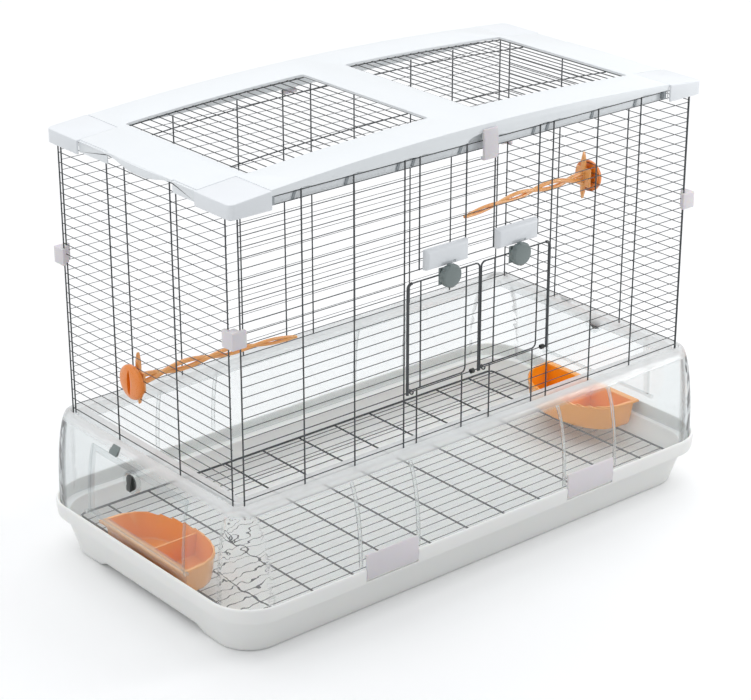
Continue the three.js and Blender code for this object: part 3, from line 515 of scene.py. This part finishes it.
HALF_FRONT, HALF_END = PX - EDGE_INSET, PY - EDGE_INSET
PANELS = (
    ("front", grid_panel(HALF_FRONT, BAY_WIRES + (JAMB,), GATE_WIRES, True), 0, 0, -PY),
    ("back", grid_panel(HALF_FRONT, BAY_WIRES + GATE_WIRES, (), False, FAR_THIN_R), 180, 0, PY),
    ("left", grid_panel(HALF_END, (END_WIRE,), (), False), -90, -PX, 0),
    ("right", grid_panel(HALF_END, (END_WIRE,), (), False), 90, PX, 0))
for side, panel, turn, x, y in PANELS:
    piece(f"{side}_panel_wires", turned_to(panel, turn, x, y), WIRE, node=f"{side}_panel")


# ------------------------------------------------------------------ bent wires and front doors
def path_tube(name, points, radius):
    """round wire bent through points, in mm"""
    curve = bpy.data.curves.new(name, "CURVE")
    curve.dimensions = "3D"
    spline = curve.splines.new("POLY")
    spline.points.add(len(points) - 1)
    for p, q in zip(spline.points, points):
        p.co = (*(Vector(q) * MM), 1.0)
    curve.bevel_depth = radius * MM
    curve.bevel_resolution = 2
    curve.use_fill_caps = True
    ob = bpy.data.objects.new(name, curve)
    bpy.context.scene.collection.objects.link(ob)
    graph = bpy.context.evaluated_depsgraph_get()
    mesh = bpy.data.meshes.new_from_object(ob.evaluated_get(graph), depsgraph=graph)
    bpy.data.objects.remove(ob)
    return mesh


def arc(centre, r, a0, a1, steps, plane="xz"):
    """points along an arc between two angles in degrees, in the xz or the yz plane"""
    points = []
    for i in range(steps + 1):
        a = math.radians(a0 + (a1 - a0) * i / steps)
        u, v = r * math.cos(a), r * math.sin(a)
        c = centre
        points.append((c[0] + u, c[1], c[2] + v) if plane == "xz" else (c[0], c[1] + u, c[2] + v))
    return points


POST_R, CENTRE_POST_R, CURL_R, CURL_TURN_R = 1.9, 1.15, 0.9, 3.0
DOOR_BEND = 6.0
# how far the door's frame lies outside its thin rows
FRAME_OUT = 0.4


def door_wires(s):
    """s is -1 for the left door: a stout outer post and a slim centre post that bend into the top wire,
    thin rows, two uprights, a foot wire that bends up into one of them, and a curl round the sill wire"""
    middle, outer = s * DOOR_CENTRE, s * DOOR_OUTER
    x0, x1 = sorted((middle, outer))
    y, bend = -DOOR_Y, DOOR_BEND
    front = y - FRAME_OUT
    top = level(LINTEL_LEVEL - 1)
    rows = LINTEL_LEVEL - SILL_LEVEL - 2
    made = [wires((x0, y, level(SILL_LEVEL + 1)), (x1 - x0, 0, 0), (0, 0, PITCH), rows)]
    for x, r, turn in ((outer, POST_R, -s), (middle, CENTRE_POST_R, s)):
        post = [(x, front, DOOR_BOTTOM - 5)]
        post += arc((x + turn * bend, front, top - bend), bend, 90 + turn * 90, 90, 8)
        made.append(path_tube("post", post, r))
    made.append(wires((x0 + bend, front, top), (x1 - x0 - 2 * bend, 0, 0), radius=STOUT_R))
    first, last = sorted(s * g for g in GATE_WIRES)
    foot = [(x0 + 3, front, DOOR_BOTTOM - 3), (x0 + 3.4, front, DOOR_BOTTOM - 0.8),
            (x0 + 6, front, DOOR_BOTTOM)]
    foot += arc((last - bend, front, DOOR_BOTTOM + bend), bend, -90, 0, 8)
    made.append(path_tube("foot", foot, STOUT_R))
    made.append(wires((first, y - 1.1, DOOR_BOTTOM), (0, 0, top - DOOR_BOTTOM), radius=STOUT_R))
    made.append(wires((last, y - 0.6, DOOR_BOTTOM + bend), (0, 0, top - DOOR_BOTTOM - bend), radius=STOUT_R))
    curl = arc((x0 + 7.5, -PY - 0.3, level(SILL_LEVEL) + 0.3), CURL_TURN_R, 110, -200, 18, "yz")
    curl = [(p[0] + i * 0.12, p[1], p[2]) for i, p in enumerate(curl)]
    made.append(path_tube("curl", curl, CURL_R))
    return joined("door", made)


for side, s in (("left", -1), ("right", 1)):
    piece(f"door_{side}_wires", door_wires(s), WIRE, node=f"door_{side}")
    dressed(f"door_bead_{side}", 0.6, 2)


# ------------------------------------------------------------------ floor grate and roof grids
GRATE_Z, GRATE_X, GRATE_Y, GRATE_CORNER = 38.0, 353.0, 179.0, 9.0
LONG_WIRES, LONG_PITCH, LONG_EDGE = 23, 16, 176
CROSS_WIRES, CROSS_PITCH, CROSS_EDGE, CROSS_R = 11, 62, 310, 1.2
GRATE_FRAME_R = 1.3


def grate():
    z, gx, gy, r = GRATE_Z, GRATE_X, GRATE_Y, GRATE_CORNER
    made = [wires((-gx, -LONG_EDGE, z + 0.5), (2 * gx, 0, 0), (0, LONG_PITCH, 0), LONG_WIRES)]
    made.append(wires((-CROSS_EDGE, -gy, z - 1.0), (0, 2 * gy, 0), (CROSS_PITCH, 0, 0), CROSS_WIRES, CROSS_R))
    loop = []
    centres = [(sx * (gx - r), sy * (gy - r)) for sx, sy in ((1, 1), (-1, 1), (-1, -1), (1, -1))]
    for q, (cx, cy) in enumerate(centres):
        for i in range(7):
            a = (q + i / 6) * math.pi / 2
            loop.append((cx + r * math.cos(a), cy + r * math.sin(a), z))
    made.append(path_tube("grate_frame", loop + loop[:1], GRATE_FRAME_R))
    return joined("grate", made)


piece("floor_grate_wires", grate(), WIRE, node="floor_grate")

GRID_NEAR, GRID_RUN, GRID_WIRES = 29.0, 273.0, 22
GRID_EDGE, TIE_INSIDE = 122, 76
GRID_R, GRID_END_R, TIE_R = 0.62, 1.0, 0.8
TIE_STEPS = 14
# how far under the roof's arch the cross wires and the ties run
GRID_UNDER, TIE_UNDER = 4.6, 5.9


def roof_grid(s):
    """cross wires on four ties, which follow the arch under a window"""
    made = []
    for i in range(GRID_WIRES):
        x = GRID_NEAR + GRID_RUN * i / (GRID_WIRES - 1)
        r = GRID_R if i % (GRID_WIRES - 1) else GRID_END_R
        start = (s * x, -GRID_EDGE, crown(x) - GRID_UNDER)
        made.append(wires(start, (0, 2 * GRID_EDGE, 0), radius=r))
    spots = [GRID_NEAR + GRID_RUN * i / TIE_STEPS for i in range(TIE_STEPS + 1)]
    for y in (-GRID_EDGE, -TIE_INSIDE, TIE_INSIDE, GRID_EDGE):
        made.append(path_tube("tie", [(s * x, y, crown(x) - TIE_UNDER) for x in spots], TIE_R))
    return joined("roof_grid", made)


for side, s in (("left", -1), ("right", 1)):
    piece(f"roof_grid_{side}_wires", roof_grid(s), WIRE, node=f"roof_grid_{side}")


# ------------------------------------------------------------------ tray
FOOT_ARCH, FOOT_ARCH_X, FOOT_ARCH_Y = 8.0, 330, 106


def tray_mesh():
    """sections from the underside up the wall, over the rim, down to the ledge and in to the floor"""
    def foot(p):
        """raises the foot in the middle of each end"""
        x, y, z = p
        if z < 11 and abs(x) > FOOT_ARCH_X and abs(y) < FOOT_ARCH_Y + 6:
            lift = 1 / (1 + math.exp((abs(y) - FOOT_ARCH_Y) / 1.6))
            z = z + (FOOT_ARCH - z * 0.7) * lift
        return [x, y, z]

    def skin(dx, dy, z, dr=0.0):
        """section that lies dx and dy inside the tray's outer size, at height z"""
        return ring(TRAY_X - dx, TRAY_Y - dy, max(8, TRAY_R - dx * 0.6 - dr), z, shape=foot)

    under = [(48, 54, 7.5, 10), (46, 52, 0.6, 10), (44, 50, 0, 10), (24.5, 30.5, 0), (22.4, 28.4, 0.7),
             (21, 27, 2.4), (20.2, 26.2, 5)]
    wall = [(20.2 - 10.5 * t, 26.2 - 12.0 * t, 5 + 40 * t) for t in (i / 7 for i in range(1, 8))]
    rim = [(9.0, 13.0, 48.5), (8.6, 12.2, 50.0), (3.0, 3.0, 50.2), (1.9, 1.9, 50.8), (1.4, 1.4, 52.5),
           (0.7, 0.7, 60), (0.1, 0.1, 67.5), (0.2, 0.2, 69.4), (0.9, 0.9, 70.6), (2.0, 2.0, TRAY_H),
           (3.0, 3.0, 70.6), (3.6, 3.6, 69.5), (3.9, 3.9, 66), (4.2, 4.2, 55.5), (5.4, 5.4, 54.2)]
    ledge = [(12.6, 16.4, TRAY_LEDGE), (13.6, 17.4, 53.0), (14.0, 18.0, 48)]
    inside = [(14.0 + 9.0 * t, 18.0 + 10.5 * t, 48 - 32 * t) for t in (i / 5 for i in range(1, 6))]
    bottom = [(25.5, 31.0, 13.4), (30, 36, 12.1), (60, 66, TRAY_FLOOR, 12)]
    return loft("tray", [skin(*row) for row in under + wall + rim + ledge + inside + bottom])


TAB_X, POCKET_HALF, POCKET_DEEP = 165, 40.6, 3.4
POCKET_Z = (53.8, 73)


def pocket(x):
    """recess in the rim's front for a latch plate"""
    return block((x - POCKET_HALF, x + POCKET_HALF), (-TRAY_Y - 2, -TRAY_Y + POCKET_DEEP), POCKET_Z)


piece("tray_moulded", finished(tray_mesh(), less(pocket(-TAB_X)), less(pocket(TAB_X))), TRAY_WHITE,
      node="tray", angle=38)


# ------------------------------------------------------------------ clear guard
def guard_skin(inset, z):
    """section of the guard's wall at height z, inset from its outside"""
    f = flare(z)
    r = RIM_R + (GUARD_R - RIM_R) * f - inset
    return ring(RIM_X + FLARE_X * f - inset, RIM_Y + FLARE_Y * f - inset, r, z, side_x=20, side_y=12)


GUARD_FOOT, GUARD_BEND = 54.6, 66


def guard_mesh():
    """outside from the foot up the bulging wall, the rim with its channel, and the inside back down"""
    def lip(inset, r, down):
        return ring(RIM_X - inset, RIM_Y - inset, r, RIM_TOP - down, side_x=20, side_y=12)

    rows = [guard_skin(0, GUARD_FOOT), guard_skin(0, GUARD_BEND), guard_skin(0, FLARE_Z)]
    for i in range(1, 17):
        t = math.sin(i / 17 * math.pi / 2)
        rows.append(guard_skin(0, FLARE_Z + t * (RIM_TOP - FLARE_Z)))
    channel = [(0.2, 12.8, 0.3), (0.8, 12.2, 0), (1.9, 11.1, 0), (2.4, 10.6, 0.6), (2.5, 10.5, 9.3),
               (9.6, 7.4, 9.3), (9.8, 7.2, 0.6), (10.4, 6.8, 0), (21.2, 6, 0), (22, 6, 0.8), (22, 6, 11),
               (21.4, 6, RIM_H)]
    rows += [lip(*p) for p in channel]
    rows.append(guard_skin(GUARD_T, RIM_TOP - RIM_H - 0.2))
    for i in range(12, -1, -1):
        t = math.sin(i / 14 * math.pi / 2)
        z = FLARE_Z + t * (RIM_TOP - FLARE_Z)
        if z < RIM_TOP - RIM_H - 1:
            rows.append(guard_skin(GUARD_T, z))
    rows += [guard_skin(GUARD_T, GUARD_BEND), guard_skin(GUARD_T, GUARD_FOOT)]
    return loft("guard", rows, loop=True)


def bowed_strip(reach, d0, d1, z0, z1, steps=14):
    """outline that follows the guard's curve, between two distances outside it"""
    zs = [z0 + (z1 - z0) * i / steps for i in range(steps + 1)]
    return [(reach(z) + d1, z) for z in zs] + [(reach(z) + d0, z) for z in reversed(zs)]


def guard_x(z):
    return RIM_X + FLARE_X * flare(z)


def guard_y(z):
    return RIM_Y + FLARE_Y * flare(z)


def prism(outline, axis, a, b):
    """outline swept along x (outline in yz) or y (outline in xz)"""
    put = (lambda p, t: (t, p[0], p[1])) if axis == "x" else (lambda p, t: (p[0], t, p[1]))
    return loft("prism", [[put(p, a) for p in outline], [put(p, b) for p in outline]])


PORT_X, PORT_Y, PORT_Z = (350, 400), (-94, 94), (89, 166)
RIB_X, RIB_Z, RIB_HALF = (121.5, 211.0), (74, 180), 2.5
EAR_X, EAR_Y, EAR_Z = (385.5, 391.0), (101.5, 106.3), (82.2, 86.7)


def across(s, pair):
    """a pair of distances on side s, in rising order"""
    return sorted((s * pair[0], s * pair[1]))


ports = [less(block(across(s, PORT_X), PORT_Y, PORT_Z)) for s in (-1, 1)]
guard = finished(guard_mesh(), *ports)
ribs = []
for x in RIB_X:
    for sx in (-1, 1):
        for sy in (-1, 1):
            outline = [(sy * p[0], p[1]) for p in bowed_strip(guard_y, -0.4, 1.4, *RIB_Z)]
            rib = prism(outline, "x", sx * x - RIB_HALF, sx * x + RIB_HALF)
            ribs.append(finished(rib, rounded(0.5, 2, 50)))
ears = []
for sx in (-1, 1):
    for sy in (-1, 1):
        ears.append(finished(block(across(sx, EAR_X), across(sy, EAR_Y), EAR_Z), rounded(1.0, 3)))
piece("debris_guard_moulded", joined("guard", [guard] + ribs + ears), CLEAR, node="debris_guard", angle=40)


# ------------------------------------------------------------------ access doors
LEAF_Y, LEAF_TOP, HINGE_Z, BARREL_R = 100.0, 175.0, 84.4, 2.3
KNOB_Y, KNOB_Z, KNOB_RING, RING_T = 6.0, 160.0, 14.0, 2.0


def knob_ring(x0, x1):
    """the leaf's ring round the thumb wedge, with rounded lips, from x0 out to x1"""
    outer, inner, lip = KNOB_RING, KNOB_RING - RING_T, 0.5
    section = [(inner, x0), (inner, x1 - lip), (inner + lip, x1), (outer - lip, x1), (outer, x1 - lip),
               (outer, x0)]
    rings = [[(x, KNOB_Y + r * math.cos(a), KNOB_Z + r * math.sin(a)) for r, x in section]
             for a in angles(48)]
    return loft("knob_ring", rings, loop=True)


def access_door(s):
    """leaf that follows the guard's bulge, a bar along each side, the hinge's barrel and the knob's ring"""
    sheet = [(s * p[0], p[1]) for p in bowed_strip(guard_x, 0.4, 2.7, HINGE_Z, LEAF_TOP, 22)]
    made = [finished(prism(sheet, "y", -LEAF_Y, LEAF_Y), rounded(0.5, 2, 50))]
    bar = [(s * p[0], p[1]) for p in bowed_strip(guard_x, 0.5, 3.4, HINGE_Z + 2, LEAF_TOP - 0.5, 22)]
    for y in (-LEAF_Y, LEAF_Y):
        a, b = sorted((y, y - math.copysign(3.2, y)))
        made.append(finished(prism(bar, "y", a, b), rounded(0.6, 2, 50)))
    barrel = [(s * (FOOT_X + 2.7 + BARREL_R * math.cos(a)), HINGE_Z + BARREL_R * math.sin(a))
              for a in angles(24)]
    made.append(finished(prism(barrel, "y", -LEAF_Y, LEAF_Y), rounded(0.4, 2, 50)))
    ring_mesh = knob_ring(guard_x(KNOB_Z) + 1.2, FOOT_X + 2.4)
    made.append(mirrored(ring_mesh) if s < 0 else ring_mesh)
    return joined("access_door", made)


for side, s in (("left", -1), ("right", 1)):
    piece(f"access_door_{side}_moulded", access_door(s), CLEAR_SHEET, node=f"access_door_{side}", angle=40)
    dressed(f"access_knob_{side}", 0.6, 3)
    dressed(f"access_catch_{side}", 0.8, 3, KNOB_GREY)
    dressed(f"tray_latch_{side}", 0.7, 3)
    dressed(f"latch_keeper_{side}", 1.0, 3)
    dressed(f"latch_plate_{side}", 0.6, 3)
    dressed(f"door_knob_{side}", 0.5, 2)
    dressed(f"cup_{side}", 0.5, 2, angle=50)


# ------------------------------------------------------------------ perches
PERCH_ROOT = -PX + 3.75
OVAL, AXLE_R = 0.935, 3.9
# each perch's side, its sign, wire level, distance along the end and arm length; the right arm is
# shorter than in the CAD, as the photograph shows it
PERCHES = (("left", -1, 6.5, 27.0, 237.0), ("right", 1, 14.5, 8.0, 216.0))


def strand(z, phase, length):
    """one of the two strands that weave along the arm, thinner towards the tip"""
    rings, steps = [], 64
    for i in range(steps + 1):
        t = i / steps
        swing = 3.5 * math.pi * t + phase
        reach = 5.2 - 3.0 * t
        x = PERCH_ROOT + length * t
        cz = z + 5 * math.sin(math.pi * t) - 8 * t + reach * math.cos(swing)
        cy = 1.5 * (1 - 0.5 * t) * math.sin(swing)
        ry, rz = 3.6 - 1.6 * t, 3.3 - 1.5 * t
        rings.append([(x, cy + ry * math.cos(a), cz + rz * math.sin(a)) for a in angles(16)])
    return loft("strand", rings)


def perch_arm(z, length):
    """two woven strands on a foot block with a pointed spine, made for the left side"""
    made = [strand(z, 0.0, length), strand(z, math.pi, length)]
    x0, x1 = PERCH_ROOT, PERCH_ROOT + 4
    made.append(finished(block((x0, x1), (-13, 13), (z - 13, z + 13)), rounded(1.5, 3)))
    spine = [(-3.2, z - 20), (0, z - 31), (3.2, z - 20), (3.2, z + 24), (0, z + 36), (-3.2, z + 24)]
    made.append(finished(prism(spine, "x", x0 + 0.2, x1 + 1.2), rounded(1.0, 3)))
    return joined("perch_arm", made)


def perch_clamp(z):
    """oval thumb disc with a lens-shaped slit, on a round axle, made for the left side"""
    face, deep = -PX - 1.6, 7.0
    # distance out and radius
    rows = [(0, 23.0), (-3.0, 23.0), (-4.6, 22.0), (-6.0, 19.5), (-6.8, 15.0), (-7.0, 9.0), (-7.0, 0.5)]
    disc = loft("disc", [[(face + d, r * math.cos(a), z + r * OVAL * math.sin(a)) for a in angles(48)]
                         for d, r in rows])
    lens = [(3.4 * math.cos(a) * abs(math.cos(a)), z + 17.0 * math.sin(a)) for a in angles(32)]
    disc = finished(disc, less(prism(lens, "x", face - deep - 1, face - 1.6)), rounded(0.5, 2, 40))
    axle = [(AXLE_R * math.cos(a), z + AXLE_R * math.sin(a)) for a in angles(24)]
    return joined("perch_clamp", [disc, prism(axle, "x", face - 1.4, PERCH_ROOT + 3.2)])


for side, s, k, y, length in PERCHES:
    arm, clamp = perch_arm(level(k), length), perch_clamp(level(k))
    for name, mesh, finish in (("perch_arm_", arm, PERCH_ORANGE_PAINTED_HIGHLIGHT), ("perch_clamp_", clamp, CLAMP_ORANGE)):
        if s > 0:
            mirrored(mesh)
        mesh.transform(Matrix.Translation((0, y * MM, 0)))
        piece(name + side + "_moulded", mesh, finish, node=name + side, angle=40)


# ------------------------------------------------------------------ roof
STEP_Z, LIP_Z, ROOF_T = CAGE_Z + 355.6, CAGE_Z + 341.4, 2.0
# the roof's latches sit this far from the middle: towards +X on the front, -X on the back
LATCH_ASIDE = 8.0
SKIRT_END, PEG_X = 309.0, 306.0
UPRIGHTS = sorted(s * x for x in (353.0, *BAY_WIRES, JAMB, *GATE_WIRES) for s in (-1, 1))


def fascia_band(s):
    """what is taken off a long fascia's foot: its lower edge rises a little past each upright"""
    edge = []
    for i in range(181):
        x = -SKIRT_END + 2 * SKIRT_END * i / 180
        near = min(abs(x - v - 3.0) for v in UPRIGHTS)
        edge.append((x, STEP_Z + 1.6 * (1 - min(1.0, near / 15.0)) ** 2))
    y = sorted((s * (ROOF_Y + 1), s * (ROOF_Y - ROOF_T - 1.2)))
    return prism([(-SKIRT_END, LIP_Z - 2), *edge, (SKIRT_END, LIP_Z - 2)], "y", *y)


def skirt(s):
    """set-back skirt behind the uprights' tops, up to the roof's arch"""
    y = sorted((s * (PY - 2.8), s * (PY - 4.8)))
    arch = [(x, crown(x) - 1.5) for x in (SKIRT_END * (i / 20 - 1) for i in range(41))]
    return prism([(-SKIRT_END, LIP_Z), *arch, (SKIRT_END, LIP_Z)], "y", *y)


def hooks(s):
    """slanted wire hooks on the skirt, beside all uprights but the outermost, and a peg at each end"""
    y = sorted((s * (PY - 2.9), s * (PY - 1.3)))
    slants = [prism([(v - 11, LIP_Z + 1.6), (v - 7.4, LIP_Z + 1.2), (v - 2.6, STEP_Z - 1.4),
                     (v - 6.2, STEP_Z - 1)], "y", *y) for v in UPRIGHTS[1:-1]]
    peg_y = sorted((s * (PY + 3.4), s * (PY - 2.9)))
    pegs = [block((x - 2.2, x + 2.2), peg_y, (STEP_Z - 12, STEP_Z - 0.6)) for x in (-PEG_X, PEG_X)]
    return joined("hooks", slants + pegs)


def end_groove(s, y0, y1):
    """shallow groove along an end fascia"""
    return block(sorted((s * (ROOF_X - 2.6), s * (ROOF_X + 1))), (y0, y1), (CAGE_Z + 356.9, CAGE_Z + 358.9))


roof = copy_of("roof_frame")
cuts = [less(fascia_band(s)) for s in (-1, 1)]
cuts += [less(end_groove(s, *y)) for s in (-1, 1) for y in ((-115.5, -71.0), (57.0, 115.5))]
# the fascia is scooped out beside the front latch
scoop = [(-27.0, STEP_Z - 12), (-24.5, STEP_Z + 3.5), (-16.0, STEP_Z + 6.5), (-2.0, STEP_Z + 8.5),
         (-2.0, STEP_Z - 12)]
cuts.append(less(prism(scoop, "y", -ROOF_Y - 1, -ROOF_Y + ROOF_T + 0.6)))
roof = finished(roof, *cuts, rounded(0.7, 3))
piece("roof_frame_moulded", joined("roof", [roof, skirt(-1), skirt(1)]), ROOF_WHITE, node="roof_frame")
hook_mesh = finished(joined("hooks", [hooks(-1), hooks(1)]), rounded(0.4, 2, 50))
# the hooks and pegs are real parts; their darker grey is painted shade
piece("roof_wire_hooks", hook_mesh, HOOK_PAINTED_SHADE_GREY, node="roof_frame")
for end, s in (("front", 1), ("back", -1)):
    latch = finished(copy_of(f"roof_latch_{end}"), rounded(0.8, 3))
    latch.transform(Matrix.Translation((s * LATCH_ASIDE * MM, 0, 0)))
    piece(f"roof_latch_{end}_moulded", latch, CLIP_WHITE, node=f"roof_latch_{end}")
    for side in ("left", "right"):
        dressed(f"corner_clip_{end}_{side}", 1.0, 3)
        dressed(f"roof_cap_{end}_{side}", 1.2, 4)


# ------------------------------------------------------------------ studio
FLOOR_HALF = 6000
corners = [(x * FLOOR_HALF, y * FLOOR_HALF, 0) for x, y in ((-1, -1), (1, -1), (1, 1), (-1, 1))]
floor_mesh = mesh_from("floor", corners, [(0, 1, 2, 3)])
floor_paint, floor_tree = new_material("pale_studio_floor")[:2]
floor_bsdf = floor_tree.nodes["Principled BSDF"]
# white to the camera, a little darker to the light that it throws back up
floor_path = add_node(floor_tree, "ShaderNodeLightPath")
floor_tone = add_node(floor_tree, "ShaderNodeMix", {"data_type": "RGBA"},
                      _0=floor_path.outputs["Is Diffuse Ray"], _6=linear("#ffffff"), _7=linear("#d9dad9"))
floor_tree.links.new(floor_tone.outputs[2], floor_bsdf.inputs["Base Color"])
floor_bsdf.inputs["Roughness"].default_value = 0.9
floor_bsdf.inputs["Specular IOR Level"].default_value = 0.1
floor_mesh.materials.append(floor_paint)
floor = bpy.data.objects.new("floor", floor_mesh)
bpy.context.scene.collection.objects.link(floor)

world = bpy.data.worlds.new("studio")
bpy.context.scene.world = world
world.use_nodes = True
w = world.node_tree
w.nodes.clear()
path = add_node(w, "ShaderNodeLightPath")
seen = add_node(w, "ShaderNodeMath", {"operation": "MAXIMUM"}, _0=path.outputs["Is Camera Ray"],
                _1=path.outputs["Is Glossy Ray"])
seen = add_node(w, "ShaderNodeMath", {"operation": "MAXIMUM"}, _0=seen.outputs[0],
                _1=path.outputs["Is Transmission Ray"])
soft = add_node(w, "ShaderNodeBackground", Color=linear("#f8fafd"), Strength=0.6)
white = add_node(w, "ShaderNodeBackground", Color=linear("#ffffff"), Strength=1.0)
mix = add_node(w, "ShaderNodeMixShader", _0=seen.outputs[0], _1=soft.outputs[0], _2=white.outputs[0])
sky = add_node(w, "ShaderNodeOutputWorld")
w.links.new(mix.outputs[0], sky.inputs["Surface"])


def aim(ob, at, to):
    ob.location = at
    ob.rotation_euler = (Vector(to) - Vector(at)).to_track_quat("-Z", "Y").to_euler()
    bpy.context.scene.collection.objects.link(ob)


def sun(name, at, strength, spread):
    """soft even light from a direction, as from a large far softbox"""
    data = bpy.data.lights.new(name, "SUN")
    data.energy, data.angle = strength, math.radians(spread)
    aim(bpy.data.objects.new(name, data), at, (0, 0, 0))


def lamp(name, at, to, size, power):
    """rectangular softbox close to the cage"""
    data = bpy.data.lights.new(name, "AREA")
    data.shape = "RECTANGLE"
    data.size, data.size_y = size
    data.energy = power
    aim(bpy.data.objects.new(name, data), at, to)


sun("overhead_softbox", (0.15, 0.35, 1.0), 1.3, 80)
sun("left_softbox", (-1.0, 0.1, 0.55), 0.42, 60)
lamp("right_strip", (0.95, -0.75, 0.75), (0.35, -0.17, 0.35), (0.25, 0.5), 3.0)
